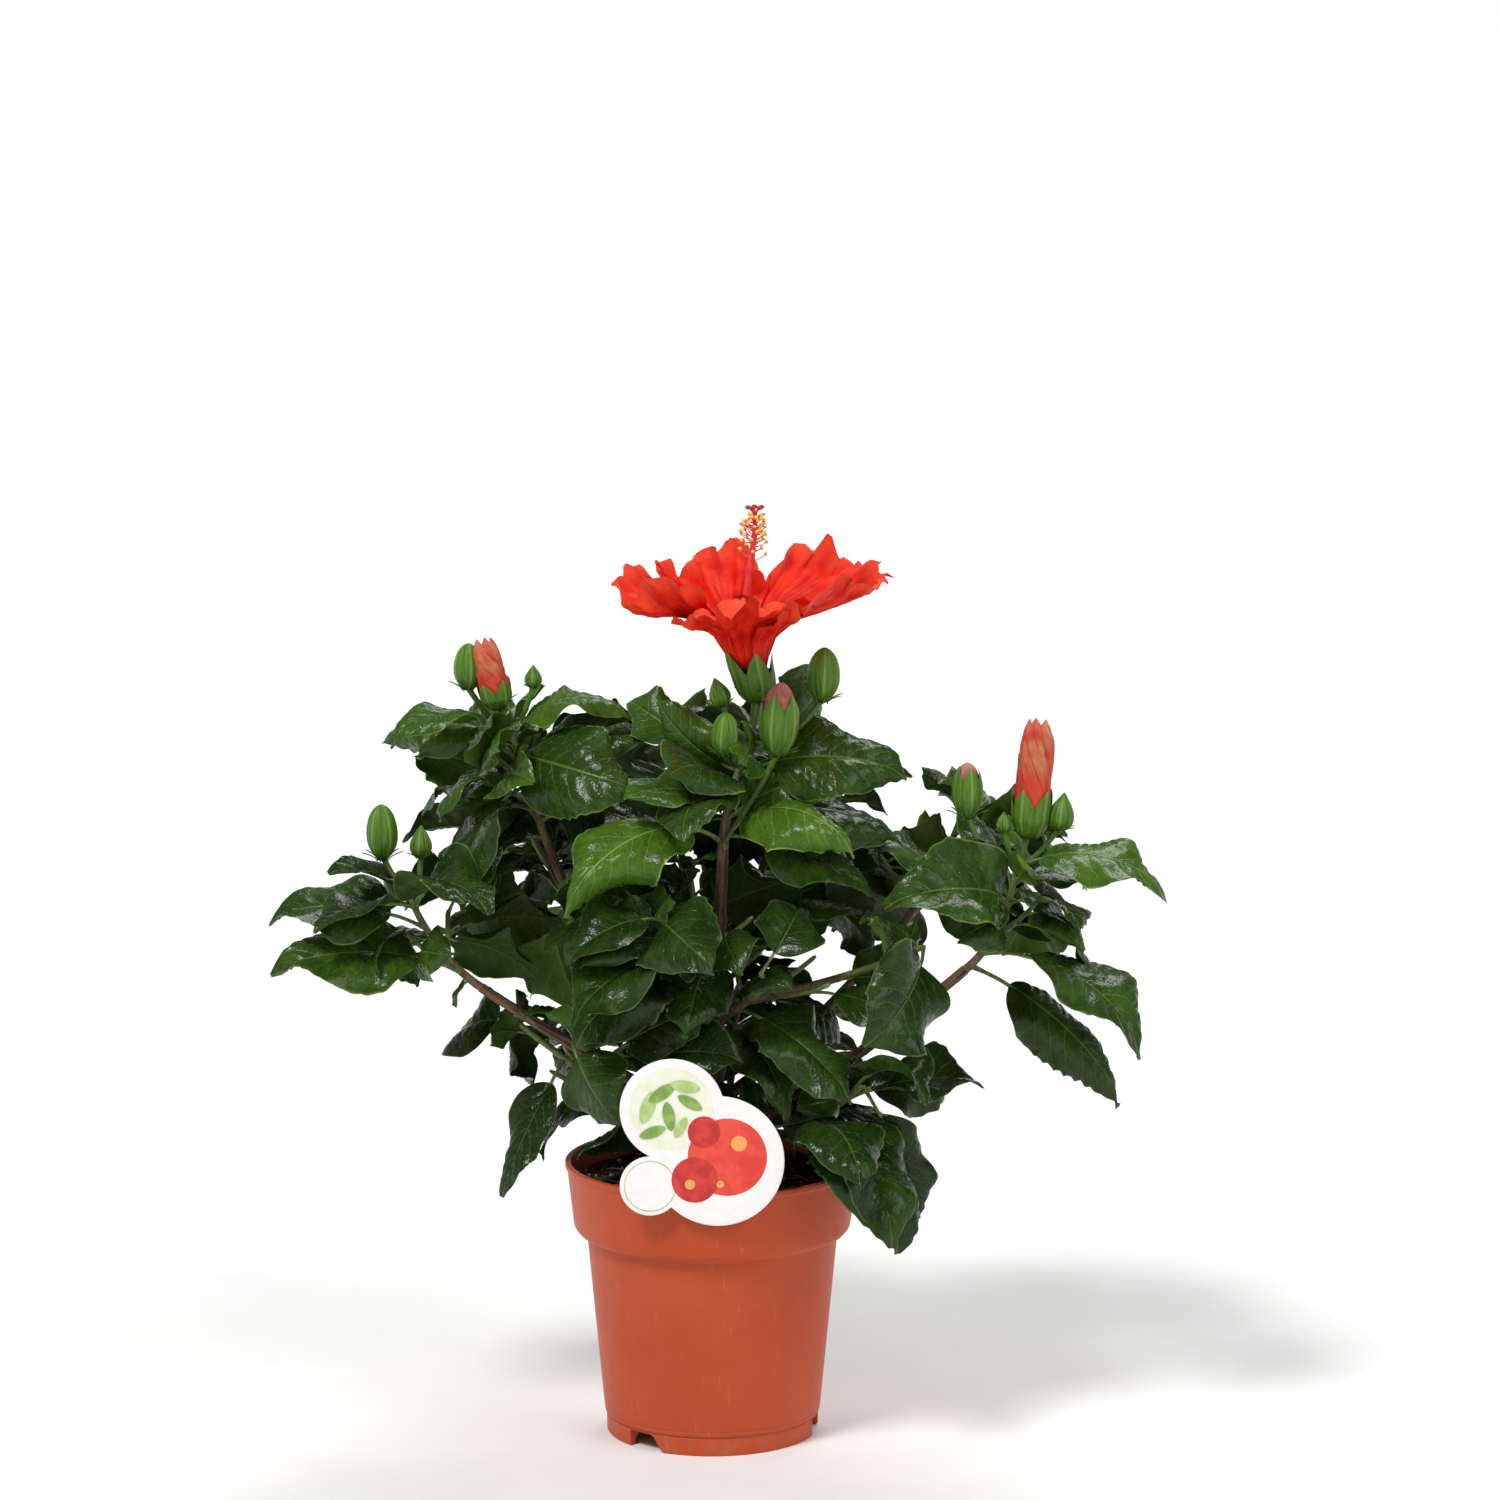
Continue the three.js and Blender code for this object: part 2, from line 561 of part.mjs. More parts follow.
// Side twigs by the rule, each with a few leaves towards its end
function growTwig(shoot, index) {
  const random = makeRandom(shoot.seed * 77 + index);
  for (let attempt = 0; attempt < TRIES; attempt++) {
    const t = 0.15 + 0.5 * random();
    const start = stemPoint(shoot.stem, t);
    const forward = stemPoint(shoot.stem, Math.min(1, t + 0.1)).sub(start).normalize();
    const sideways = heading(shoot.seed + (index * 2 + attempt) * GOLDEN, 0.25, 1);
    const way = forward.multiplyScalar(0.5).add(sideways).normalize();
    const tip = start.clone().addScaledVector(way, 26 + 18 * random());
    const bend = start.clone().lerp(tip, 0.5).add(V(0, 0, -TWIG_SAG));
    const twig = { start, bend, tip, radius: TWIG_RADIUS };
    const balls = [0.4, 0.55, 0.7, 0.85, 1].map((s) => ballAt(stemPoint(twig, s), STALK_ROOM));
    const [low, high] = shoot.space;
    if (balls.some((ball) => !inside(ball, low, high) || hitsPot(ball))) continue;
    if (blocked(balls, shoot.name, false)) continue;
    takeStem(twig, shoot.name);
    return twig;
  }
  return null;
}

// Buds and rolled-up spent flowers, each on its own stalk
const BUD_SIDES = 6;
const BUD_SHAPE = [[0.5, 0], [1, 0.3], [0.86, 0.66], [0.42, 0.92]];
const SPENT_SHAPE = [[0.5, 0], [0.98, 0.25], [0.86, 0.55], [0.9, 0.84], [0.55, 0.97]];

function budAxis(bud) {
  return V(bud.tilt[0], bud.tilt[1], 1).normalize();
}

function budGeometry(bud) {
  const axis = budAxis(bud);
  const side = V(1, 0, 0).addScaledVector(axis, -axis.x).normalize();
  const other = V(0, 0, 0).crossVectors(axis, side);
  const shape = bud.spent ? SPENT_SHAPE : BUD_SHAPE;
  const rings = shape.map(([wide, high]) => Array.from({ length: BUD_SIDES }, (_, i) => {
    const turn = (i / BUD_SIDES) * 2 * Math.PI;
    return bud.base.clone()
      .addScaledVector(axis, high * bud.length)
      .addScaledVector(side, wide * bud.radius * Math.cos(turn))
      .addScaledVector(other, wide * bud.radius * Math.sin(turn));
  }));
  return loft(rings, bud.base.clone().addScaledVector(axis, bud.length));
}

function budStalk(shoot, bud) {
  const start = stemPoint(shoot.stem, bud.at);
  const tip = bud.base.clone().addScaledVector(budAxis(bud), 0.06 * bud.length);
  const bend = start.clone().lerp(tip, 0.55);
  bend.z -= 0.12 * start.distanceTo(tip);
  return { start, bend, tip, radius: [1.1, 1.3] };
}

function takeBud(shoot, bud) {
  takeStem(budStalk(shoot, bud), shoot.name);
  const balls = [0.15, 0.4, 0.65, 0.9].map((share) => {
    const centre = bud.base.clone().addScaledVector(budAxis(bud), share * bud.length);
    return ballAt(centre, bud.radius + 0.5);
  });
  take(balls, shoot.name, false);
}

// The open flower: stalk, calyx, funnel of five petals and the column of stamens
const BLOOM_BASE = V(19.7, -5, 326.9);
const BLOOM_AXIS = V(-0.02, -0.02, 1).normalize();
const CALYX_LENGTH = 21;
const CALYX_RADIUS = 9;
const THROAT_RADIUS = 5.2;
const PETAL_START = 12;       // height in the calyx where the petals begin
const PETAL_REACH = 60;       // from the axis to the outer edge
const PETAL_PLANE = 51;       // height of the spread petals over the calyx's foot
const PETAL_THICK = 0.9;
const PETAL_ROOM = 6;
const COLUMN_HEIGHT = 86;
const COLUMN_RADIUS = 1.9;
// for each petal: heading, share of the full reach, lift of its outer edge, height of its ruffles
const PETALS = [
  [262, 0.86, -9, 5],
  [334, 0.98, 3, 7],
  [46, 0.96, 12, 7],
  [118, 0.92, 9, 6],
  [190, 1.0, 1, 6],
];
// the petal's section from the throat outwards, as shares of reach and plane
const FLARE = [
  [0, 0.05, 0], [0.2, 0.15, 0.34], [0.4, 0.35, 0.66],
  [0.6, 0.58, 0.86], [0.8, 0.8, 0.97], [1, 1.0, 1],
];

function flareAt(u) {
  let k = 0;
  while (k + 2 < FLARE.length && u > FLARE[k + 1][0]) k++;
  const [u0, r0, z0] = FLARE[k];
  const [u1, r1, z1] = FLARE[k + 1];
  const s = (u - u0) / (u1 - u0);
  return [r0 + (r1 - r0) * s, z0 + (z1 - z0) * s];
}

function petalPoint(petal, u, v) {
  const [turn, reach, lift, ruffle] = petal;
  const short = 1 - 0.2 * Math.abs(v) ** 3;
  const [wide, high] = flareAt(u * short);
  const radius = THROAT_RADIUS * 0.5 + wide * (PETAL_REACH * reach - THROAT_RADIUS * 0.5);
  const spread = (47 - 5 * u) * DEGREE * v;
  const height = PETAL_START + high * (PETAL_PLANE - PETAL_START)
    + lift * u * u + ruffle * 0.5 * u ** 3 * Math.sin(5.2 * v + turn) + 2.2 * v * u;
  const angle = turn * DEGREE + spread;
  return V(radius * Math.cos(angle), radius * Math.sin(angle), height);
}

function petalGeometry(petal) {
  const rows = 5;
  const columns = 4;
  const points = [];
  for (const offset of [0.5, -0.5]) {
    for (let i = 0; i <= rows; i++) {
      for (let j = 0; j <= columns; j++) {
        const u = i / rows;
        const v = (j / columns) * 2 - 1;
        const point = petalPoint(petal, u, v);
        const along = petalPoint(petal, u + 0.02, v).sub(petalPoint(petal, u - 0.02, v));
        const across = petalPoint(petal, u, v + 0.02).sub(petalPoint(petal, u, v - 0.02));
        const normal = V(0, 0, 0).crossVectors(along, across).normalize();
        points.push(point.addScaledVector(normal, offset * PETAL_THICK));
      }
    }
  }
  const at = (side, i, j) => side * (rows + 1) * (columns + 1) + i * (columns + 1) + j;
  const faces = [];
  const quad = (a, b, c, d) => faces.push([a, b, c], [a, c, d]);
  for (let i = 0; i < rows; i++) {
    for (let j = 0; j < columns; j++) {
      quad(at(0, i, j), at(0, i + 1, j), at(0, i + 1, j + 1), at(0, i, j + 1));
      quad(at(1, i, j), at(1, i, j + 1), at(1, i + 1, j + 1), at(1, i + 1, j));
    }
    quad(at(0, i, 0), at(1, i, 0), at(1, i + 1, 0), at(0, i + 1, 0));
    quad(at(0, i, columns), at(0, i + 1, columns), at(1, i + 1, columns), at(1, i, columns));
  }
  for (let j = 0; j < columns; j++) {
    quad(at(0, 0, j), at(0, 0, j + 1), at(1, 0, j + 1), at(1, 0, j));
    quad(at(0, rows, j), at(1, rows, j), at(1, rows, j + 1), at(0, rows, j + 1));
  }
  return closedGeometry(points, faces);
}

function bloomGeometry(stemTip) {
  const calyx = turned([
    [0, 0], [2.6, 0], [6.4, 3], [CALYX_RADIUS - 0.8, 9], [CALYX_RADIUS, 15],
    [CALYX_RADIUS - 0.6, CALYX_LENGTH], [THROAT_RADIUS, CALYX_LENGTH + 3],
    [THROAT_RADIUS - 1.6, CALYX_LENGTH + 8], [0, CALYX_LENGTH + 8],
  ], 10);
  const column = turned([
    [0, CALYX_LENGTH], [COLUMN_RADIUS, CALYX_LENGTH], [COLUMN_RADIUS * 0.8, COLUMN_HEIGHT * 0.66],
    [4.6, COLUMN_HEIGHT * 0.7], [5.2, COLUMN_HEIGHT * 0.84], [3.4, COLUMN_HEIGHT * 0.93],
    [5, COLUMN_HEIGHT * 0.97], [4, COLUMN_HEIGHT], [0, COLUMN_HEIGHT],
  ], 8);
  const flower = join([calyx, column, ...PETALS.map(petalGeometry)].map(solidFrom));
  const geometry = geometryFrom(flower);
  geometry.applyQuaternion(new THREE.Quaternion().setFromUnitVectors(UP, BLOOM_AXIS));
  geometry.translate(BLOOM_BASE.x, BLOOM_BASE.y, BLOOM_BASE.z);
  const gap = stemTip.forward.clone().multiplyScalar(CLEAR);
  const stalk = {
    start: stemTip.point.clone().add(gap),
    bend: stemTip.point.clone().addScaledVector(stemTip.forward, 8),
    tip: BLOOM_BASE.clone().addScaledVector(BLOOM_AXIS, 2),
    radius: [1.5, 1.9],
  };
  return solidFrom(geometry).add(solidFrom(stemGeometry(stalk, 5, 7)));
}

// The pot: a thin turned wall with a stepped band, a raised floor and a small foot in the middle
function potGeometry() {
  const outer = [
    [0, 0], [CENTRE_FOOT, 0], [CENTRE_FOOT + 5, SKIRT_HEIGHT - 1], [BASE_RADIUS - 6, SKIRT_HEIGHT - 1],
    [BASE_RADIUS - 2.2, 0.6], [BASE_RADIUS - 1.6, 0], [BASE_RADIUS, 0], [BASE_RADIUS + 0.1, 7.2],
    [BASE_RADIUS + 0.9, 8.2], [BODY_RADIUS, BAND_FOOT - 1], [BODY_RADIUS + 0.4, BAND_FOOT],
    [BAND_RADIUS - 2.4, BAND_FOOT + 0.6], [BAND_RADIUS - 0.5, BAND_FOOT + 3], [BAND_RADIUS, BAND_FOOT + 6],
    [RIM_RADIUS - 0.9, POT_HEIGHT - 3.2], [RIM_RADIUS, POT_HEIGHT - 2.4], [RIM_RADIUS, POT_HEIGHT],
  ];
  const inner = [
    [RIM_RADIUS - POT_WALL - 1, POT_HEIGHT], [BAND_RADIUS - POT_WALL, BAND_FOOT + 6],
    [BODY_RADIUS - POT_WALL, BAND_FOOT], [BASE_RADIUS + 0.9 - POT_WALL, SKIRT_HEIGHT + POT_WALL],
    [CENTRE_FOOT + 4, SKIRT_HEIGHT + 0.5], [CENTRE_FOOT - 1, POT_WALL], [0, POT_WALL],
  ];
  let pot = solidFrom(turned([...outer, ...inner], POT_SIDES));
  const notch = new THREE.Shape();
  notch.moveTo(-NOTCH_WIDTH / 2, -1);
  notch.lineTo(-NOTCH_WIDTH / 2, SKIRT_HEIGHT - 1.6);
  notch.lineTo(NOTCH_WIDTH / 2 - 8, SKIRT_HEIGHT - 1.6);
  notch.bezierCurveTo(NOTCH_WIDTH / 2 - 4, SKIRT_HEIGHT - 1.6, NOTCH_WIDTH / 2 - 4, 0.4, NOTCH_WIDTH / 2, -1);
  notch.closePath();
  for (let k = 0; k < 3; k++) {
    const cut = new THREE.ExtrudeGeometry(notch, { depth: 14, bevelEnabled: false, curveSegments: 4 });
    cut.rotateX(Math.PI / 2);
    cut.rotateZ(Math.PI / 2);
    cut.translate(BASE_RADIUS - 4, 0, 0);
    cut.rotateZ(NOTCH_HEADING + k * 120 * DEGREE);
    pot = pot.subtract(solidFrom(cut));
  }
  return geometryFrom(pot);
}

function soilGeometry() {
  const wall = POT_WALL + CLEAR;
  const slope = (RIM_RADIUS - 1 - BAND_RADIUS) / (POT_HEIGHT - BAND_FOOT - 6);
  const top = BAND_RADIUS - wall - 0.2 + slope * (SOIL_HEIGHT - BAND_FOOT - 6);
  return turned([
    [0, POT_WALL + CLEAR], [CENTRE_FOOT - 1.5, POT_WALL + CLEAR],
    [CENTRE_FOOT + 3.4, SKIRT_HEIGHT + 0.5 + CLEAR], [BASE_RADIUS + 0.8 - wall, SKIRT_HEIGHT + POT_WALL + CLEAR],
    [BODY_RADIUS - wall, BAND_FOOT + 0.2], [BAND_RADIUS - wall - 0.2, BAND_FOOT + 6],
    [top, SOIL_HEIGHT - 1.5], [top - 2, SOIL_HEIGHT], [0, SOIL_HEIGHT],
  ], POT_SIDES);
}

// The plant label: a card of three overlapping discs with a tongue that hangs inside the rim
const CARD_THICK = 0.8;
const CARD_FRONT = -(RIM_RADIUS + CLEAR);
const DISCS = [[3, 137.2, 28.5], [-16.7, 159.6, 22.4], [-26.2, 126.2, 13]];
const TONGUE_X = 3;
const TONGUE_WIDTH = 12;
const CARD_SIDES = 24;

function tagGeometry() {
  const card = DISCS.map(([x, z, radius]) => {
    const disc = new THREE.CylinderGeometry(radius, radius, CARD_THICK, CARD_SIDES);
    disc.translate(x, CARD_FRONT - 0.6 - CARD_THICK / 2, z);
    return solidFrom(disc);
  });
  const tongue = new THREE.Shape();
  const inner = -(RIM_RADIUS - POT_WALL - 1 - CLEAR);
  const outer = CARD_FRONT - 0.6 - CARD_THICK / 2;
  const top = POT_HEIGHT + 2;
  const profile = [
    [outer, top - 6], [outer, top], [inner + CARD_THICK + 0.6, top],
    [inner + CARD_THICK + 3.2, SOIL_HEIGHT + 1], [inner + 2.4, SOIL_HEIGHT + 1],
    [inner + 0.4, top - CARD_THICK], [outer + CARD_THICK, top - CARD_THICK], [outer + CARD_THICK, top - 6],
  ];
  profile.forEach(([y, z], k) => (k ? tongue.lineTo(y, z) : tongue.moveTo(y, z)));
  tongue.closePath();
  const strip = new THREE.ExtrudeGeometry(tongue, { depth: TONGUE_WIDTH, bevelEnabled: false });
  strip.rotateX(Math.PI / 2);
  strip.rotateZ(Math.PI / 2);
  strip.translate(TONGUE_X - TONGUE_WIDTH / 2, 0, 0);
  return geometryFrom(join([...card, solidFrom(strip)]));
}

function material(color, roughness, metalness = 0) {
  return new THREE.MeshStandardMaterial({ color, roughness, metalness });
}

const BARK = material(0x6b4a35, 0.85);
const PLASTIC = material(0xb9512f, 0.5);
const PEAT = material(0x2c2019, 0.98);
const CARD = material(0xf1efe9, 0.55);
const LEAF = material(0x24552a, 0.4);
const PETAL = material(0xd92a17, 0.55);

const plant = new THREE.Group();

function addMesh(name, geometry, meshMaterial) {
  const mesh = new THREE.Mesh(geometry, meshMaterial);
  mesh.name = name;
  plant.add(mesh);
}

// Pot, soil and label
addMesh('pot', potGeometry(), PLASTIC);
addMesh('soil', soilGeometry(), PEAT);
addMesh('tag', tagGeometry(), CARD);

// Trunk, with its root flare on the soil
const FLARE_HEIGHTS = [0, 3, 8, 16];
const FLARE_RADII = [8, 5.6, 4.3, 3.6];
const [TRUNK_THICK, TRUNK_THIN] = trunk.radius;
const trunkRows = [
  ...FLARE_HEIGHTS.map((h, k) => [onTrunk(TRUNK_FOOT.z + h), FLARE_RADII[k]]),
  ...[0.25, 0.42, 0.6, 0.8, 1].map((t) => [stemPoint(trunk, t), TRUNK_THICK + (TRUNK_THIN - TRUNK_THICK) * t]),
];
trunkRows[0][0] = TRUNK_FOOT.clone();
function trunkGeometry(extra) {
  return limbGeometry(trunkRows.map(([p]) => p), trunkRows.map(([, r]) => r + extra), 10);
}
const flatCut = new THREE.BoxGeometry(60, 60, 40);
flatCut.translate(0, 0, TRUNK_FOOT.z - 20);
const trunkSolid = solidFrom(trunkGeometry(0)).subtract(solidFrom(flatCut));
addMesh('trunk', geometryFrom(trunkSolid), BARK);
const trunkRoom = solidFrom(trunkGeometry(CLEAR));
takeStem(trunk, 'trunk');

// Boughs, cut back to the trunk's surface
for (const [name, bough] of Object.entries(BOUGHS)) {
  bough.start = onTrunk(bough.height);
  addMesh(`bough_${name}`, geometryFrom(solidFrom(stemGeometry(bough, 7, 6)).subtract(trunkRoom)), BARK);
  takeStem(bough, `bough_${name}`);
}

// The stem of each mass starts where its bough or the trunk ends, or at the trunk's side
function endOf(limb) {
  const point = limb.tip.clone();
  const forward = limb.tip.clone().sub(limb.bend).normalize();
  return { point, forward };
}

for (const shoot of SHOOTS) {
  if (shoot.height) {
    shoot.stem = { start: onTrunk(shoot.height), bend: shoot.bend, tip: shoot.tip, radius: [2.2, 1.3] };
  } else {
    const end = endOf(shoot.bough === 'trunk' ? trunk : BOUGHS[shoot.bough]);
    const start = end.point.clone().addScaledVector(end.forward, CLEAR);
    const bend = end.point.clone().addScaledVector(end.forward, 0.45 * end.point.distanceTo(shoot.tip));
    shoot.stem = { start, bend, tip: shoot.tip, radius: [shoot.bough === 'trunk' ? 2.5 : 1.9, 1.3] };
  }
  takeStem(shoot.stem, shoot.name);
  for (const bud of shoot.buds ?? []) takeBud(shoot, bud);
}

// The spread petals take room before any leaf does
for (const petal of PETALS) {
  take([0.3, 0.5, 0.7, 0.9].flatMap((u) => [-0.8, -0.3, 0.3, 0.8].map((v) => (
    ballAt(petalPoint(petal, u, v).add(BLOOM_BASE), PETAL_ROOM)))), 'bloom', false);
}

// Named leaves come first on every mass, then twigs, then the leaves by the rule
for (const shoot of SHOOTS) {
  shoot.grown = [];
  shoot.named.forEach(([at, reach, choice], index) => {
    const random = makeRandom(shoot.seed * 500 + index);
    for (let attempt = 0; attempt < TRIES; attempt++) {
      const step = Math.floor(attempt / 4);
      const aside = reach.clone().applyAxisAngle(UP, (step % 2 ? 1 : -1) * Math.ceil(step / 2) * NAMED_STEP);
      const leaf = makeLeaf(stemPoint(shoot.stem, at), aside, choice, random);
      if (!leafFits(leaf, shoot, true)) continue;
      takeLeaf(leaf, shoot);
      shoot.grown.push(leaf);
      return;
    }
  });
}
for (const shoot of SHOOTS) {
  shoot.sideTwigs = [];
  for (let k = 0; k < shoot.twigs; k++) {
    const twig = growTwig(shoot, k);
    if (twig) shoot.sideTwigs.push(twig);
  }
}
for (const shoot of SHOOTS) {
  shoot.grown.push(...growLeaves(shoot, shoot.stem, shoot.leaves, shoot.seed, 0.1));
  shoot.sideTwigs.forEach((twig, k) => {
    shoot.grown.push(...growLeaves(shoot, twig, 3, shoot.seed + 300 + k, 0.45));
  });
}

// Each mass is one solid: stem, twigs, leaves and buds fused
for (const shoot of SHOOTS) {
  const pieces = [solidFrom(stemGeometry(shoot.stem, 5, 5))];
  for (const twig of shoot.sideTwigs) pieces.push(solidFrom(stemGeometry(twig, 3, 4)));
  for (const leaf of shoot.grown) pieces.push(solidFrom(leafGeometry(leaf)));
  for (const bud of shoot.buds ?? []) {
    pieces.push(solidFrom(stemGeometry(budStalk(shoot, bud), 4, 4)), solidFrom(budGeometry(bud)));
  }
  let mass = join(pieces);
  if (shoot.height) mass = mass.subtract(trunkRoom);
  addMesh(`foliage_${shoot.name}`, geometryFrom(mass), LEAF);
}

const top = SHOOTS.find((shoot) => shoot.name === 'top');
addMesh('bloom', geometryFrom(bloomGeometry({
  point: top.stem.tip,
  forward: top.stem.tip.clone().sub(top.stem.bend).normalize(),
})), PETAL);

export default plant;
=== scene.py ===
# Looks of the potted hibiscus shrub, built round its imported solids.
# The plant is worked out in millimetres, by the same rule as its solids, and each mesh is made in metres.
import math
from types import SimpleNamespace

import bpy
import numpy as np
from mathutils import Matrix, Vector


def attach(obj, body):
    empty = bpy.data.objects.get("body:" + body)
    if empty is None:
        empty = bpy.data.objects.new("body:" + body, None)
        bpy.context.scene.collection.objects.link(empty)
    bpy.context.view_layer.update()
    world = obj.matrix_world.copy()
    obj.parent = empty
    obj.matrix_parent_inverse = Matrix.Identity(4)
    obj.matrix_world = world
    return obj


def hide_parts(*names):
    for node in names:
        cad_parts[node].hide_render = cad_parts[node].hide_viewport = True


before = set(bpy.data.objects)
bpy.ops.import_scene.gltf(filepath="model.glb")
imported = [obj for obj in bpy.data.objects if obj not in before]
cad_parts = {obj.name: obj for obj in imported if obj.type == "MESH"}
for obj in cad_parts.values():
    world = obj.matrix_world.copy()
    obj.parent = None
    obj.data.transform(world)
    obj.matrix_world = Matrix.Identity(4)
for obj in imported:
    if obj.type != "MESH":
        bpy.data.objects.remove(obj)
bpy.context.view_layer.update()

MM = 0.001
MASK = 0xFFFFFFFF
TURN = 2 * math.pi
UP = np.array([0.0, 0.0, 1.0])


def vec(x, y, z):
    return np.array([x, y, z], float)


def unit(a):
    return a / np.linalg.norm(a)


def polar(radius, turn, height):
    """Points round +Z, from their radius, turn and height."""
    return np.stack(np.broadcast_arrays(radius * np.cos(turn), radius * np.sin(turn), height), -1)


def smooth(value, low, high):
    t = np.clip((value - low) / (high - low), 0, 1)
    return t * t * (3 - 2 * t)


def make_random(seed):
    """The small integer random numbers of the solids' rule."""
    state = seed & MASK

    def draw():
        nonlocal state
        state = (state + 0x6D2B79F5) & MASK
        t = ((state ^ (state >> 15)) * (state | 1)) & MASK
        t ^= (t + (((t ^ (t >> 7)) * (t | 61)) & MASK)) & MASK
        return ((t ^ (t >> 14)) & MASK) / 4294967296

    return draw


def noise(points, size, seed=0):
    """Smooth random values from -1 to 1, with features about size wide."""
    p = points / size
    cell = np.floor(p).astype(np.int64)
    f = p - cell
    f = f * f * (3 - 2 * f)
    total = 0
    for corner in range(8):
        step = np.array([(corner >> k) & 1 for k in range(3)])
        weight = np.prod(np.where(step, f, 1 - f), axis=-1)
        h = ((cell + step) @ np.array([374761393, 668265263, 974634517]) + seed * 362437) & MASK
        h = ((h ^ (h >> 13)) * 1274126177) & MASK
        total = total + weight * ((((h ^ (h >> 16)) & 0xFFFF) / 32767.5) - 1)
    return total


# Measures of the pot, soil and label
CLEAR = 0.3
POT_HEIGHT = 122
RIM_RADIUS = 65
BAND_RADIUS = 61.5
BAND_FOOT = 90
BODY_RADIUS = 55.4
BASE_RADIUS = 46.9
POT_WALL = 1.5
SKIRT_HEIGHT = 9
CENTRE_FOOT = 12
SOIL_HEIGHT = 112
NOTCH_WIDTH = 19
NOTCH_HEADING = math.radians(232)
TAG_ROOM = (vec(-43, -76, 100), vec(35, -61, 187))


# Limbs, as curves from a start past a bend to a tip, with their radius at both ends
def limb(start, bend, tip, radius=(1, 1)):
    return SimpleNamespace(start=start, bend=bend, tip=tip, radius=radius)


def stem_point(stem, t):
    t = np.asarray(t, float)[..., None]
    s = 1 - t
    return s * s * stem.start + 2 * s * t * stem.bend + t * t * stem.tip


TRUNK = limb(vec(2, 0, SOIL_HEIGHT + CLEAR), vec(2, -6, 190), vec(4.9, -5, 262), (3.3, 2.6))


def on_trunk(height):
    low, high = 0.0, 1.0
    for _ in range(30):
        middle = (low + high) / 2
        if stem_point(TRUNK, middle)[2] < height:
            low = middle
        else:
            high = middle
    return stem_point(TRUNK, low)


def bough(height, bend, tip, radius):
    return limb(on_trunk(height), vec(*bend), vec(*tip), (radius, radius - 0.7))


BOUGHS = {
    "left": bough(138, (-45, -4, 162), (-101, -8, 201), 2.9),
    "upper_left": bough(166, (-50, 12, 200), (-72, 20, 258), 2.7),
    "right": bough(128, (57, -6, 162), (111, -8, 209), 2.9),
    "back_right": bough(148, (34, 14, 166), (80, 38, 214), 2.6),
    "back_left": bough(152, (-28, 30, 176), (-58, 62, 216), 2.6),
    "back": bough(160, (12, 36, 182), (20, 66, 226), 2.6),
}

# Foliage rule, as in the solids
PLANT_AXIS = vec(4, 0, 0)
GOLDEN = math.radians(137.5)
FACE_UP = 0.62
FACE_OUT = 0.78
LEAF_WIDTH = 0.74
PETIOLE_SHARE = 0.2
BLADE_ROOM = 2.2
NAMED_ROOM = 1.2
NAMED_STEP = math.radians(5)
STALK_ROOM = 1.4
STEM_STEP = 3.5
TWIG_RADIUS = (1.5, 1.0)
TWIG_SAG = 3
TRIES = 60
OWN_SHARE = 0.8
LATE_SHRINK = 0.35
LONGEST_REACH = 84
TIP_SHRINK = 22
SHORTEST_TWIG = 26
TWIG_SPREAD = 18
POT_ROOM = 4
RIM_INSIDE = 7
STEM_ROOM = 0.7


def make_leaf(root, reach, choice, draw):
    along = unit(reach)
    out = unit((root + reach * 0.5 - PLANT_AXIS) * (1, 1, 0))
    face = FACE_UP * UP + FACE_OUT * out
    face = unit(face - along * (face @ along))

    def jitter(spread):
        return (draw() * 2 - 1) * spread

    roll = math.radians(choice.get("roll", 0)) + jitter(0.08 if "roll" in choice else 0.45)
    normal = face * math.cos(roll) + np.cross(along, face) * math.sin(roll)
    return SimpleNamespace(
        root=root,
        along=along,
        normal=normal,
        side=np.cross(along, normal),
        chord=np.linalg.norm(reach),
        bend=math.radians(choice["bend"] if "bend" in choice else 38 + jitter(16)),
        width=choice.get("width", LEAF_WIDTH) * (1 + jitter(0.07)),
        petiole=PETIOLE_SHARE * (1 + jitter(0.25)),
        fold=0.2 + jitter(0.22),
        cup=-0.35 + jitter(0.5),
        twist=jitter(0.5),
        sway=jitter(0.1),
        wave=0.16 + draw() * 0.16,
        waves=1.1 + draw() * 0.9,
        phase=draw() * TURN,
        tone=choice.get("tone"),
    )


def leaf_length(leaf):
    return leaf.chord / math.sin(leaf.bend) * leaf.bend


def leaf_arc(leaf, q):
    """Points of the leaf's middle line, and the upper side's normals there."""
    along, normal, bend = leaf.along, leaf.normal, leaf.bend
    radius = leaf.chord / (2 * math.sin(bend))
    angle = bend * (1 - 2 * q[..., None])
    forward = along * radius * (math.sin(bend) - np.sin(angle))
    rise = normal * radius * (np.cos(angle) - math.cos(bend))
    return leaf.root + forward + rise, normal * np.cos(angle) - along * np.sin(angle)


def blade_profile(u):
    return 2.74 * u**0.55 * (1 - u)


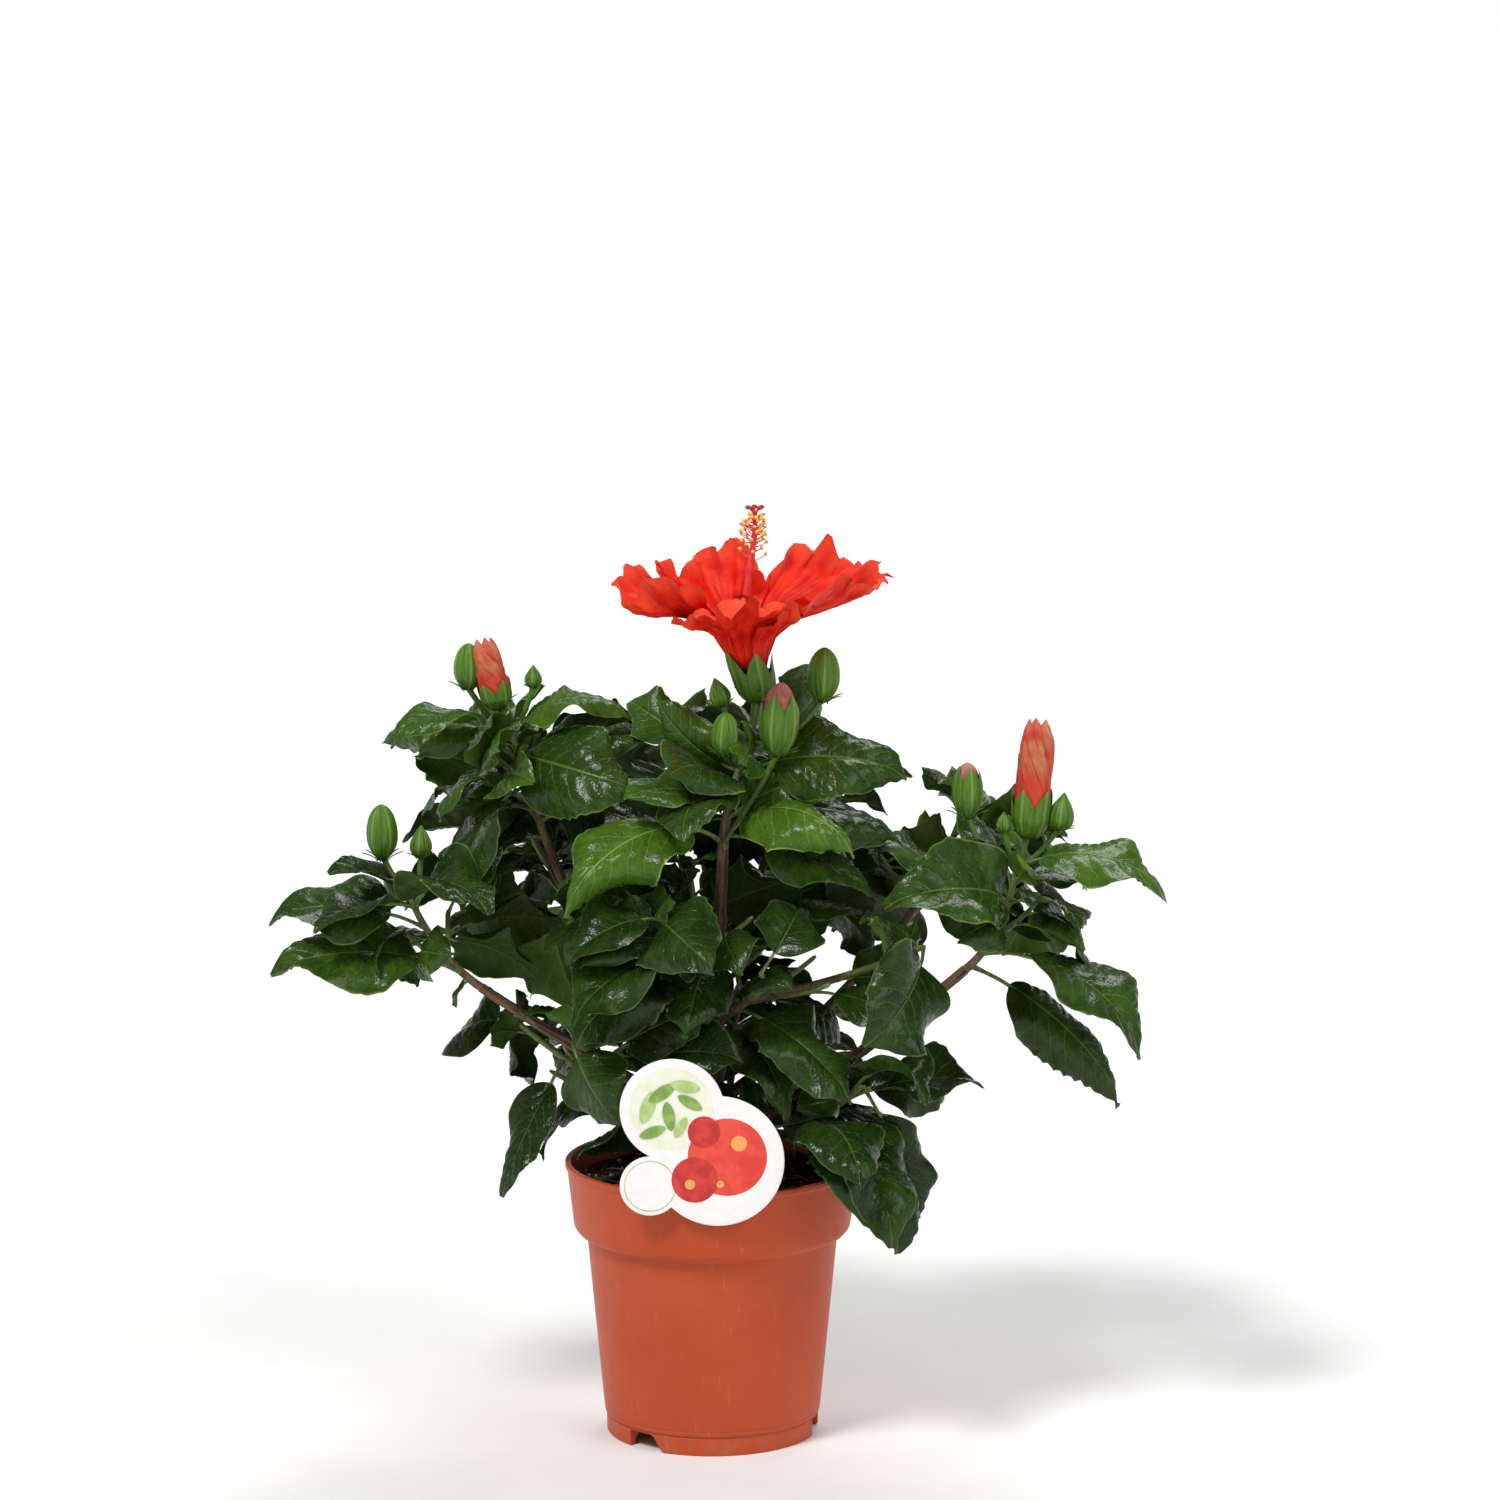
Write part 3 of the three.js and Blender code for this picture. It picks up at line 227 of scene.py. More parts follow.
def blade_point(leaf, u, v, edge=1.0):
    """A point of the blade: u from its base to its tip, v from one margin over the midrib to the other."""
    u, v = np.broadcast_arrays(u, v)
    point, normal = leaf_arc(leaf, leaf.petiole + (1 - leaf.petiole) * u)
    blade = leaf_length(leaf) * (1 - leaf.petiole)
    half = 0.5 * leaf.width * blade * blade_profile(u) * edge
    cup = 0.02 if abs(leaf.cup) < 0.02 else leaf.cup
    fold = leaf.fold
    reach = np.abs(v)
    sideways = np.sign(v) * half * (np.sin(fold + cup * reach) - math.sin(fold)) / cup
    lift = half * (math.cos(fold) - np.cos(fold + cup * reach)) / cup
    ripple = np.sin(TURN * leaf.waves * u + leaf.phase + np.where(v > 0, 0, 2))
    lift = lift + half * leaf.wave * v * v * ripple
    twist = leaf.twist * u
    across = sideways * np.cos(twist) - lift * np.sin(twist) + leaf.sway * blade * u * u
    rise = sideways * np.sin(twist) + lift * np.cos(twist)
    return point + leaf.side * across[..., None] + normal * rise[..., None]


# The photo's view, in millimetres and pixels, and what stays open in it
CAMERA_PLACE = vec(16.7, -2200, 659)
CAMERA_AIM = vec(16.7, 0, 305)
CAMERA_LENS = 122.6
CAMERA_SENSOR = 36
PHOTO_SIZE = 1500
BARE_ROOM = 5
# Gaps of sky inside the crown, as a pixel of the photo and a radius
SKY_GAPS = [
    (503, 984, 9), (938, 935, 10), (826, 962, 5), (893, 818, 5), (935, 800, 9), (990, 765, 8), (950, 755, 9),
]
# Limbs that finer growth leaves in view from the front, as lines of points
bare_limbs = []


def photo_pixels(points):
    ahead = unit(CAMERA_AIM - CAMERA_PLACE)
    side = unit(np.cross(ahead, UP))
    away = points - CAMERA_PLACE
    scale = CAMERA_LENS / CAMERA_SENSOR * PHOTO_SIZE / (away @ ahead)
    return PHOTO_SIZE / 2 + away @ side * scale, PHOTO_SIZE / 2 - away @ np.cross(side, ahead) * scale


def covers_gap(leaf):
    blade = blade_point(leaf, np.linspace(0.03, 1, 24)[:, None], np.linspace(-0.95, 0.95, 11))
    across, down = photo_pixels(blade)
    return any((np.hypot(across - x, down - y) < radius).any() for x, y, radius in SKY_GAPS)


def hides_limb(points):
    for line in bare_limbs:
        gaps = points[:, None] - line
        if ((np.hypot(gaps[..., 0], gaps[..., 2]) < BARE_ROOM) & (gaps[..., 1] < 0)).any():
            return True
    return False


# Room that is taken: groups of balls along limbs, petioles and buds, and all over the blades
taken = []
BLADE_ROWS = np.array([0.06, 0.16, 0.27, 0.38, 0.49, 0.6, 0.71, 0.82, 0.92, 1])[:, None]
BLADE_COLUMNS = np.array([-0.95, -0.63, -0.31, 0, 0.31, 0.63, 0.95])
PETIOLE_SHARES = np.array([0.3, 0.5, 0.7, 0.9])


def make_group(points, radii):
    points = points.reshape(-1, 3)
    radii = radii + np.zeros(len(points))
    centre = points[len(points) // 2]
    reach = (np.linalg.norm(points - centre, axis=1) + radii).max()
    return SimpleNamespace(points=points, radii=radii, centre=centre, reach=reach)


def take(group, mass, is_stem):
    group.mass, group.is_stem = mass, is_stem
    taken.append(group)


def take_stem(stem, mass):
    thick, thin = stem.radius
    steps = math.ceil(np.linalg.norm(stem.tip - stem.start) / STEM_STEP)
    t = np.arange(steps + 1) / steps
    take(make_group(stem_point(stem, t), thick + (thin - thick) * t + STEM_ROOM), mass, True)


def blocked(group, mass, by_own_stems, share=1.0):
    for other in taken:
        own = other.mass == mass
        if own and other.is_stem and not by_own_stems:
            continue
        apart = other.centre - group.centre
        if apart @ apart >= (group.reach + other.reach) ** 2:
            continue
        gaps = group.points[:, None] - other.points
        limit = share * (OWN_SHARE if own else 1) * (group.radii[:, None] + other.radii)
        if ((gaps * gaps).sum(-1) < limit * limit).any():
            return True
    return False


def has_room(points, part):
    """Whether points keep inside their shoot's space and clear of the pot and the label."""
    low, high = part.space
    if not ((points > low) & (points < high)).all():
        return False
    low, high = TAG_ROOM
    if ((points > low) & (points < high)).all(1).any():
        return False
    r = np.hypot(points[:, 0], points[:, 1])
    near = (points[:, 2] <= POT_HEIGHT + POT_ROOM) & (r <= RIM_RADIUS + POT_ROOM)
    return not (near & ((r > RIM_RADIUS - RIM_INSIDE) | (points[:, 2] < SOIL_HEIGHT + POT_ROOM))).any()


def leaf_groups(leaf, room):
    blade = make_group(blade_point(leaf, BLADE_ROWS, BLADE_COLUMNS), room)
    return blade, make_group(leaf_arc(leaf, PETIOLE_SHARES * leaf.petiole)[0], STALK_ROOM)


def add_leaf(part, leaf, share=1.0, named=False):
    """Adds the leaf to its shoot and takes its room, if it fits."""
    name = part.name
    blade, petiole = leaf_groups(leaf, NAMED_ROOM if named else BLADE_ROOM)
    if not has_room(blade.points, part):
        return False
    if bare_limbs and (hides_limb(blade.points) or covers_gap(leaf)):
        return False
    if blocked(blade, name, not named, share) or blocked(petiole, name, False, share):
        return False
    blade, petiole = leaf_groups(leaf, BLADE_ROOM)
    take(blade, name, False)
    take(petiole, name, True)
    part.grown.append(leaf)
    return True


def leaf_at(at, reach, **choice):
    return at, vec(*reach), choice


def bud(at, base, tilt, length, radius, pink=0, spent=False):
    return SimpleNamespace(
        at=at, base=vec(*base), axis=unit(vec(*tilt, 1)), length=length, radius=radius,
        pink=pink, spent=spent,
    )


def shoot(name, tip, seed, leaves, twigs, low, high, named=(), buds=(), height=None, bend=(0, 0, 0)):
    return SimpleNamespace(
        name=name, tip=vec(*tip), seed=seed, leaves=leaves, twigs=twigs, space=(vec(*low), vec(*high)),
        named=named, buds=buds, height=height, bend=vec(*bend), grown=[], side_twigs=[],
    )


SHOOTS = [
    shoot("top", (15, -8, 306), 14, 6, 0, (-75, -95, 232), (102, 75, 345), [
        leaf_at(0.05, (-73, -42, -22), roll=-20, bend=55, width=0.6, tone="fresh"),
        leaf_at(0.45, (-44, -36, 10), roll=-12, width=0.78, bend=25, tone="young"),
        leaf_at(0.85, (-14, -42, 10), roll=-20, width=0.62, bend=25, tone="young"),
        leaf_at(0.8, (-38, 8, 30), roll=-40, width=0.7, bend=25, tone="young"),
        leaf_at(0.75, (76, -12, 2), roll=35, bend=40),
        leaf_at(0.3, (49, -24, 26), roll=30, width=0.55),
        leaf_at(0.02, (66, -52, 10), roll=15, bend=48, tone="fresh"),
        leaf_at(0.15, (68, -12, -26), roll=20),
    ], [
        bud(0.1, (28.3, -25, 306), (0.06, 0), 33, 8.6, pink=0.34),
        bud(0.6, (47.9, -10, 327.5), (0.05, 0), 24, 7),
        bud(0.95, (5, -12, 326), (-0.3, 0), 13, 4.6),
        bud(0.85, (5.5, -30, 307), (0.05, -0.1), 19.5, 5.8),
    ]),
    shoot("upper_left", (-88, 14, 312), 24, 6, 1, (-150, -62, 222), (-14, 80, 334), [
        leaf_at(0.55, (-26, -42, -42), roll=-8, bend=32),
        leaf_at(0.1, (-38, -30, -27), roll=-20, bend=40),
        leaf_at(0.9, (-54, -24, 2), roll=-25, bend=50, width=0.5, tone="young"),
        leaf_at(0.8, (55, -46, -11), roll=20, bend=40, width=0.8),
        leaf_at(0.85, (-9, -44, 4), roll=0, bend=30, width=0.8),
        leaf_at(0.95, (54, -6, 11), roll=20, bend=50, width=0.6, tone="young"),
        leaf_at(0.75, (8, -24, 36), roll=0, width=0.6, bend=25),
    ], [
        bud(0.9, (-106.7, 10, 330), (0.02, 0), 20.5, 6.3),
        bud(0.97, (-93, 9, 322), (-0.22, -0.1), 31, 6.6, spent=True),
        bud(0.95, (-78, 10, 331), (0, 0), 10, 3.8),
    ]),
    shoot("left", (-134, -10, 247), 39, 6, 1, (-198, -72, 176), (-58, 60, 272), [
        leaf_at(0.2, (-84, -17, 3), roll=-38, bend=32, width=0.7),
        leaf_at(0.85, (-36, -14, 18), roll=-35, bend=30, width=0.85),
        leaf_at(0.95, (-6, -38, 20), roll=0, bend=20, width=0.7),
        leaf_at(0.12, (36, -34, 4), roll=-120, bend=50, width=0.8),
        leaf_at(0.1, (-6, -14, -9), bend=40),
        leaf_at(0.3, (48, -14, -8), roll=30),
    ], [
        bud(0.9, (-143.3, -10, 258), (-0.02, 0), 24.5, 6.7),
        bud(0.8, (-126.7, -10, 259), (0.02, 0), 14.5, 4.8),
    ]),
    shoot("right", (133, -10, 256), 41, 6, 1, (60, -72, 136), (202, 70, 300), [
        leaf_at(0.7, (-57, -36, 12), roll=-25, bend=48),
        leaf_at(0.6, (-22, -42, -2), roll=-10, bend=30, width=0.7),
        leaf_at(0.7, (32, -42, -4), roll=18, bend=30, width=0.9),
        leaf_at(0.95, (67, -18, -12), roll=28, bend=52, width=0.62, tone="young"),
        leaf_at(0.85, (36, 20, -6)),
        leaf_at(0.05, (69, -8, -61), roll=35, bend=28, width=0.56),
        leaf_at(0.8, (-24, 30, 32), width=0.8),
    ], [
        bud(0.75, (111.2, -10, 276.5), (0, 0), 25, 6.7, pink=0.16),
        bud(0.98, (138, -10, 267.8), (0.08, 0), 52, 8, spent=True),
        bud(0.95, (151, -10, 271), (0.15, 0), 17, 5.8),
        bud(0.95, (127, -14, 271), (0, 0), 9, 3.4),
    ]),
    shoot("mid_right", (92, -22, 222), 53, 8, 1, (18, -95, 165), (132, 15, 268), [
        leaf_at(0.8, (-8, -40, 28), roll=0, bend=30, width=0.85),
        leaf_at(1.0, (-26, -46, -34), roll=-25, bend=25, width=0.95),
        leaf_at(0.15, (51, -36, 24), roll=15, bend=25),
    ], height=192, bend=(52, -22, 204)),
    shoot("front_left", (-24, -32, 238), 67, 9, 1, (-90, -112, 166), (18, 2, 282), [
        leaf_at(0.35, (-56, -50, -22), roll=-10, bend=30, width=0.8),
        leaf_at(0.1, (-62, -30, -31), roll=-12, bend=30, width=0.75),
        leaf_at(0.9, (-40, -24, -16), roll=-15, bend=42),
        leaf_at(0.1, (-30, -44, -24), roll=-10, bend=30, width=0.8),
        leaf_at(0.5, (4, -24, 10), bend=30, width=0.9),
        leaf_at(0.8, (-5, 8, 18), roll=-20),
    ], height=212, bend=(-10, -20, 222)),
    shoot("front_right", (28, -34, 212), 75, 9, 1, (-8, -112, 128), (104, 2, 258), [
        leaf_at(0.3, (48, -42, -34), roll=10, bend=30, width=0.68),
        leaf_at(0.1, (32, -38, -36), roll=10, bend=25, width=0.8),
        leaf_at(0.5, (14, -38, 12), roll=20, bend=45, width=0.7),
        leaf_at(0.95, (33, -10, 14), roll=20),
    ], height=186, bend=(16, -20, 196)),
    shoot("low_left", (-60, -28, 180), 83, 8, 1, (-95, -112, 116), (30, 15, 208), [
        leaf_at(1.0, (22, -30, -32), roll=10, bend=25, width=1.0),
        leaf_at(0.3, (-4, -34, -2), roll=0, bend=25, width=0.95),
    ], height=158, bend=(-28, -18, 166)),
    shoot("low_right", (66, -22, 160), 97, 6, 1, (12, -104, 86), (132, 50, 186), [
        leaf_at(1.0, (28, 8, -62), roll=60, bend=20, width=0.45),
        leaf_at(0.55, (54, -42, -39), roll=15, bend=40, width=0.68),
        leaf_at(0.5, (22, -62, -44), roll=5, bend=58, width=0.68),
        leaf_at(0.9, (44, 30, -5), roll=0, width=0.8),
    ], height=122, bend=(36, -18, 134)),
    shoot("skirt_left", (-88, 6, 184), 101, 6, 1, (-136, -45, 96), (-8, 80, 196), [
        leaf_at(1.0, (8, 18, -36), roll=0, width=0.95),
        leaf_at(0.97, (-28, 28, -18), roll=-20, width=0.85),
        leaf_at(0.75, (-26, -18, -60), roll=-50, bend=15, width=0.4),
        leaf_at(0.5, (-34, 2, -30), roll=0, bend=35, width=0.35),
    ], height=124, bend=(-42, 8, 146)),
    shoot("centre", (-10, 18, 248), 112, 9, 2, (-82, -42, 148), (84, 82, 296),
          height=176, bend=(-4, 12, 204)),
    shoot("back_left", (-92, 100, 268), 113, 8, 2, (-165, 14, 140), (-5, 178, 312)),
    shoot("back_right", (112, 70, 264), 127, 7, 2, (28, 4, 150), (172, 160, 304)),
    shoot("back", (30, 104, 286), 131, 8, 2, (-62, 28, 160), (92, 188, 326)),
    shoot("back_low", (10, 66, 160), 149, 8, 2, (-95, 12, 112), (104, 150, 208),
          height=130, bend=(8, 34, 142)),
]


def heading(turn, rise, length):
    return polar(length * math.cos(rise), turn, length * math.sin(rise))


def grow_leaves(part, stem, count, seed, start, share=1.0, size=1.0):
    for i in range(count):
        draw = make_random(seed * 1000 + i)
        for attempt in range(TRIES):
            t = min(1, start + (1 - start) * ((i + 0.3 + 0.6 * draw()) / count))
            turn = seed + (i + attempt * 0.37) * GOLDEN + (draw() - 0.5) * 0.5
            rise = math.radians(-38 + 62 * t + (draw() - 0.5) * 44)
            length = (LONGEST_REACH - TIP_SHRINK * t) * (0.82 + 0.36 * draw())
            reach = heading(turn, rise, length * (1 - LATE_SHRINK * (attempt / TRIES)) * size)
            if add_leaf(part, make_leaf(stem_point(stem, t), reach, {}, draw), share):
                break


def grow_twig(part, index, share=1.0):
    draw = make_random(part.seed * 77 + index)
    for attempt in range(TRIES):
        t = 0.15 + 0.5 * draw()
        start = stem_point(part.stem, t)
        forward = unit(stem_point(part.stem, min(1, t + 0.1)) - start)
        sideways = heading(part.seed + (index * 2 + attempt) * GOLDEN, 0.25, 1)
        tip = start + unit(forward * 0.5 + sideways) * (SHORTEST_TWIG + TWIG_SPREAD * draw())
        twig = limb(start, (start + tip) / 2 - UP * TWIG_SAG, tip, TWIG_RADIUS)
        group = make_group(stem_point(twig, [0.4, 0.55, 0.7, 0.85, 1]), STALK_ROOM)
        if has_room(group.points, part) and not blocked(group, part.name, False, share):
            take_stem(twig, part.name)
            part.side_twigs.append(twig)
            return twig
    return None


def bud_stalk(part, item):
    start = stem_point(part.stem, item.at)
    tip = item.base + item.axis * 0.06 * item.length
    middle = start + (tip - start) * 0.55
    middle[2] -= 0.12 * np.linalg.norm(tip - start)
    return limb(start, middle, tip, (1.1, 1.3))


# The open flower, as in the solids
BLOOM_BASE = vec(19.7, -5, 326.9)
BLOOM_AXIS = unit(vec(-0.02, -0.02, 1))
CALYX_LENGTH = 21
CALYX_RADIUS = 9
THROAT = 2.6
PETAL_START = 12
PETAL_REACH = 60
PETAL_PLANE = 51
PETAL_ROOM = 6
COLUMN_HEIGHT = 86
PETALS = [(262, 0.86, -9, 5), (334, 0.98, 3, 7), (46, 0.96, 12, 7), (118, 0.92, 9, 6), (190, 1.0, 1, 6)]
FLARE = np.array([
    (0, 0.05, 0), (0.2, 0.15, 0.34), (0.4, 0.35, 0.66), (0.6, 0.58, 0.86), (0.8, 0.8, 0.97), (1, 1, 1),
])


def trumpet(flare, along, reach, plane):
    """Radius and height of a petal's middle at a share of the way to its rim."""
    wide = np.interp(along, flare[:, 0], flare[:, 1])
    high = np.interp(along, flare[:, 0], flare[:, 2])
    return THROAT + wide * (PETAL_REACH * reach - THROAT), PETAL_START + high * (plane - PETAL_START)


def petal_point(petal, u, v):
    turn, reach, lift, ruffle = petal
    radius, height = trumpet(FLARE, u * (1 - 0.2 * np.abs(v) ** 3), reach, PETAL_PLANE)
    height = height + lift * u * u + ruffle * 0.5 * u**3 * np.sin(5.2 * v + turn) + 2.2 * v * u
    return polar(radius, np.radians(turn + (47 - 5 * u) * v), height)


def end_of(stem):
    return stem.tip, unit(stem.tip - stem.bend)


def grow_named(part):
    for index, (at, reach, choice) in enumerate(part.named):
        draw = make_random(part.seed * 500 + index)
        for attempt in range(TRIES):
            step = attempt // 4
            angle = (1 if step % 2 else -1) * math.ceil(step / 2) * NAMED_STEP
            aside = np.array(Matrix.Rotation(angle, 3, "Z")) @ reach
            if add_leaf(part, make_leaf(stem_point(part.stem, at), aside, choice, draw), named=True):
                break


def grow_stem(part):
    """A shoot's stem goes on from its bough or the trunk's tip, or leaves the trunk at a height."""
    if part.height:
        return limb(on_trunk(part.height), part.bend, part.tip, (2.2, 1.3))
    below = BOUGHS.get(part.name, TRUNK)
    foot, forward = end_of(below)
    bend = foot + forward * 0.45 * np.linalg.norm(foot - part.tip)
    return limb(foot + forward * CLEAR, bend, part.tip, (2.5 if below is TRUNK else 1.9, 1.3))


def grow_plant():
    """Works out every limb, twig and leaf in the order of the solids."""
    take_stem(TRUNK, "trunk")
    for name, stem in BOUGHS.items():
        take_stem(stem, f"bough_{name}")
    for part in SHOOTS:
        part.stem = grow_stem(part)
        take_stem(part.stem, part.name)
        for item in part.buds:
            take_stem(bud_stalk(part, item), part.name)
            centres = item.base + item.axis * np.array([[0.15], [0.4], [0.65], [0.9]]) * item.length
            take(make_group(centres, item.radius + 0.5), part.name, False)
    for petal in PETALS:
        spots = petal_point(petal, np.array([[0.3], [0.5], [0.7], [0.9]]), np.array([-0.8, -0.3, 0.3, 0.8]))
        take(make_group(spots + BLOOM_BASE, PETAL_ROOM), "bloom", False)
    for part in SHOOTS:
        grow_named(part)
    for part in SHOOTS:
        for k in range(part.twigs):
            grow_twig(part, k)
    for part in SHOOTS:
        grow_leaves(part, part.stem, part.leaves, part.seed, 0.1)
        for k, twig in enumerate(part.side_twigs):
            grow_leaves(part, twig, 3, part.seed + 300 + k, 0.45)


# Finer growth, in the gaps that the solids leave inside the same spaces
FINE_SHARE = 0.62
FINE_LEAVES = {"front": 2, "back": 6}
FINE_TWIGS = {"front": 1, "back": 2}
TIP_LEAVES = 3


def grow_finer():
    for stem, first in ((TRUNK, 0.5), (BOUGHS["left"], 0.4), (BOUGHS["right"], 0.5)):
        bare_limbs.append(stem_point(stem, np.linspace(first, 1, 24)))
    for part in SHOOTS:
        part.grown = [leaf for leaf in part.grown if not covers_gap(leaf)]
        side = "back" if part.tip[1] > 10 else "front"
        seed = part.seed
        grow_leaves(part, part.stem, TIP_LEAVES, seed + 500, 0.8, FINE_SHARE, 0.45)
        for k in range(FINE_TWIGS[side]):
            twig = grow_twig(part, 50 + k, FINE_SHARE)
            if twig:
                grow_leaves(part, twig, 3, seed + 700 + k, 0.4, FINE_SHARE, 0.7)
        grow_leaves(part, part.stem, FINE_LEAVES[side], seed + 600, 0.25, FINE_SHARE, 0.95)


# Meshes. A shape is its points in millimetres, its faces in blocks, and its place values for the materials
SHARP = math.radians(80)


def add_object(name, data):
    obj = bpy.data.objects.new(name, data)
    bpy.context.collection.objects.link(obj)
    return obj


class Piece:
    """Gathers shapes and makes one mesh object of them in metres."""

    def __init__(self, name, slot, *materials):
        self.name, self.slot, self.materials = name, slot, materials
        self.points, self.places, self.faces, self.kinds = [], [], [], []
        self.count = 0

    def add(self, shape, kinds=0, base=UP * 0, axes=np.eye(3)):
        """Puts a shape at a base along three axes; kinds are the materials of its blocks of faces."""
        points, faces, place = shape
        for block, kind in zip(faces, np.broadcast_to(kinds, len(faces))):
            self.faces.append(block + self.count)
            self.kinds.append(np.full(len(block), kind))
        self.points.append(base + points @ axes)
        self.places.append(np.broadcast_to(place, points.shape))
        self.count += len(points)

    def make(self, *nodes):
        mesh = bpy.data.meshes.new(self.name)
        points = np.concatenate(self.points) * MM
        sizes = np.concatenate([np.full(len(block), block.shape[1]) for block in self.faces])
        corners = np.concatenate([block.ravel() for block in self.faces])
        starts = np.cumsum(sizes) - sizes
        mesh.vertices.add(len(points))
        mesh.vertices.foreach_set("co", points.ravel())
        mesh.loops.add(len(corners))
        mesh.loops.foreach_set("vertex_index", corners.astype(np.int32))
        mesh.polygons.add(len(sizes))
        for key, values in (("loop_start", starts), ("material_index", np.concatenate(self.kinds))):
            mesh.polygons.foreach_set(key, values.astype(np.int32))
        mesh.polygons.foreach_set("use_smooth", np.ones(len(sizes), bool))
        place = mesh.attributes.new("place", "FLOAT_VECTOR", "POINT")
        place.data.foreach_set("vector", np.concatenate(self.places).ravel())
        mesh.update(calc_edges=True)
        mesh.validate()
        mesh.set_sharp_from_angle(angle=SHARP)
        for material in self.materials:
            mesh.materials.append(material)
        obj = add_object(self.name, mesh)
        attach(obj, "root")
        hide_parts(*nodes)


def quads(index, flip=False):
    """Faces between the neighbours of a grid of point numbers."""
    a, b, c, d = index[:-1, :-1], index[:-1, 1:], index[1:, 1:], index[1:, :-1]
    order = (a, d, c, b) if flip else (a, b, c, d)
    return np.stack([corner.ravel() for corner in order], 1)


def closed_sheet(upper, lower, u=0, v=0, chance=0):
    """A thin shape between two grids of points that meet along their rims."""
    rows, columns = upper.shape[:2]
    top = np.arange(rows * columns).reshape(rows, columns)
    low = top.copy()
    low[1:-1, 1:-1] = rows * columns + np.arange((rows - 2) * (columns - 2)).reshape(rows - 2, columns - 2)
    place = np.stack(np.broadcast_arrays(u, v, chance, upper[..., 0])[:3], -1)

    def joined(outer, inner):
        return np.concatenate([outer.reshape(-1, 3), inner[1:-1, 1:-1].reshape(-1, 3)])

    return joined(upper, lower), [quads(top), quads(low, flip=True)], joined(place, place)


def grid_normals(points):
    """Upper side's normals of a grid whose rows run from the root to the tip."""
    normals = np.cross(np.gradient(points, axis=1), np.gradient(points, axis=0))
    return normals / np.maximum(np.linalg.norm(normals, axis=-1, keepdims=True), 1e-9)


def bell(value, middle, width):
    return np.exp(-(((value - middle) / width) ** 2))


def full_turn(count):
    return np.arange(count) / count * TURN


def tube_faces(rings, sides):
    """Faces round rings of points, closed to a middle point at each end."""
    body = np.arange(rings * sides).reshape(rings, sides)
    body = np.concatenate([body, body[:, :1]], 1)
    here, after = body[:, :-1], body[:, 1:]
    end = np.full(sides, rings * sides)
    return [quads(body), np.stack([end, after[0], here[0]], 1), np.stack([end + 1, here[-1], after[-1]], 1)]


def tube_place(shares, turns):
    """Place values of a tube: the share of its length and of a full turn."""
    place = np.zeros((len(shares) * len(turns) + 2, 3))
    place[:-2, 0] = np.repeat(shares, len(turns))
    place[:-2, 1] = np.tile(turns / TURN, len(shares))
    place[-1, 0] = 1
    return place


def sweep(points, radii, sides, relief=None):
    """A closed tube along points; relief gives how far its skin stands out at a grid of length and turn."""
    along = np.gradient(points, axis=0)
    along /= np.linalg.norm(along, axis=1, keepdims=True)
    side = np.cross(along[0], UP if abs(along[0][2]) < 0.9 else vec(1, 0, 0))
    turn = full_turn(sides)
    length = np.concatenate([[0], np.cumsum(np.linalg.norm(np.diff(points, axis=0), axis=1))])
    out = np.zeros((len(points), sides)) + np.reshape(radii, (-1, 1))
    if relief:
        out += relief(length[:, None], turn)
    rings = []
    for k, point in enumerate(points):
        side = unit(side - along[k] * (side @ along[k]))
        way = np.cos(turn)[:, None] * side + np.sin(turn)[:, None] * np.cross(along[k], side)
        rings.append(point + way * out[k][:, None])
    points = np.concatenate([*rings, points[:1], points[-1:]])
    return points, tube_faces(len(rings), sides), tube_place(length / length[-1], turn)


def turned(profile, turns):
    """A lathe shape about +Z from [r, z] points, closed to the axis at each end."""
    radii, heights = np.array(profile, float).T[..., None]
    ends = [(0, 0, heights[0, 0]), (0, 0, heights[-1, 0])]
    points = np.concatenate([polar(radii, turns, heights).reshape(-1, 3), ends])
    return points, tube_faces(len(radii), len(turns)), UP * 0


def rounded(corners, radius, steps=4):
    """An open line of [r, z] corners, each turned into a small arc."""
    corners = np.array(corners, float)
    line = [corners[0]]
    for a, b, c in zip(corners, corners[1:], corners[2:]):
        cut = min(radius, 0.45 * np.linalg.norm(a - b), 0.45 * np.linalg.norm(c - b))
        start, end = b + unit(a - b) * cut, b + unit(c - b) * cut
        for t in np.linspace(0, 1, steps):
            line.append((1 - t) ** 2 * start + 2 * t * (1 - t) * b + t * t * end)
    return np.array([*line, corners[-1]])


# Materials
def shade(colour, amount):
    return tuple(part * amount for part in colour)


class Nodes:
    """Short ways to add nodes to a tree."""

    def __init__(self, tree):
        self.tree = tree

    def put(self, socket, value):
        if isinstance(value, bpy.types.NodeSocket):
            self.tree.links.new(value, socket)
        else:
            socket.default_value = value

    def node(self, kind, values, **settings):
        node = self.tree.nodes.new("ShaderNode" + kind)
        for key, value in settings.items():
            setattr(node, key, value)
        for key, value in values.items():
            self.put(node.inputs[key], value)
        return node

    def math(self, operation, *values):
        return self.node("Math", dict(enumerate(values)), operation=operation).outputs[0]

    def times(self, a, b):
        return self.math("MULTIPLY", a, b)

    def scaled(self, value, factor, offset):
        return self.math("MULTIPLY_ADD", value, factor, offset)

    def ease(self, value, low, high, start=0.0, end=1.0):
        """The start's value at low, the end's at high, smooth between them."""
        values = {"Value": value, "From Min": low, "From Max": high, "To Min": start, "To Max": end}
        return self.node("MapRange", values, interpolation_type="SMOOTHSTEP").outputs["Result"]

    def parts(self, vector):
        return self.node("SeparateXYZ", {0: vector}).outputs

    def joined(self, *values):
        return self.node("CombineXYZ", dict(enumerate(values))).outputs[0]


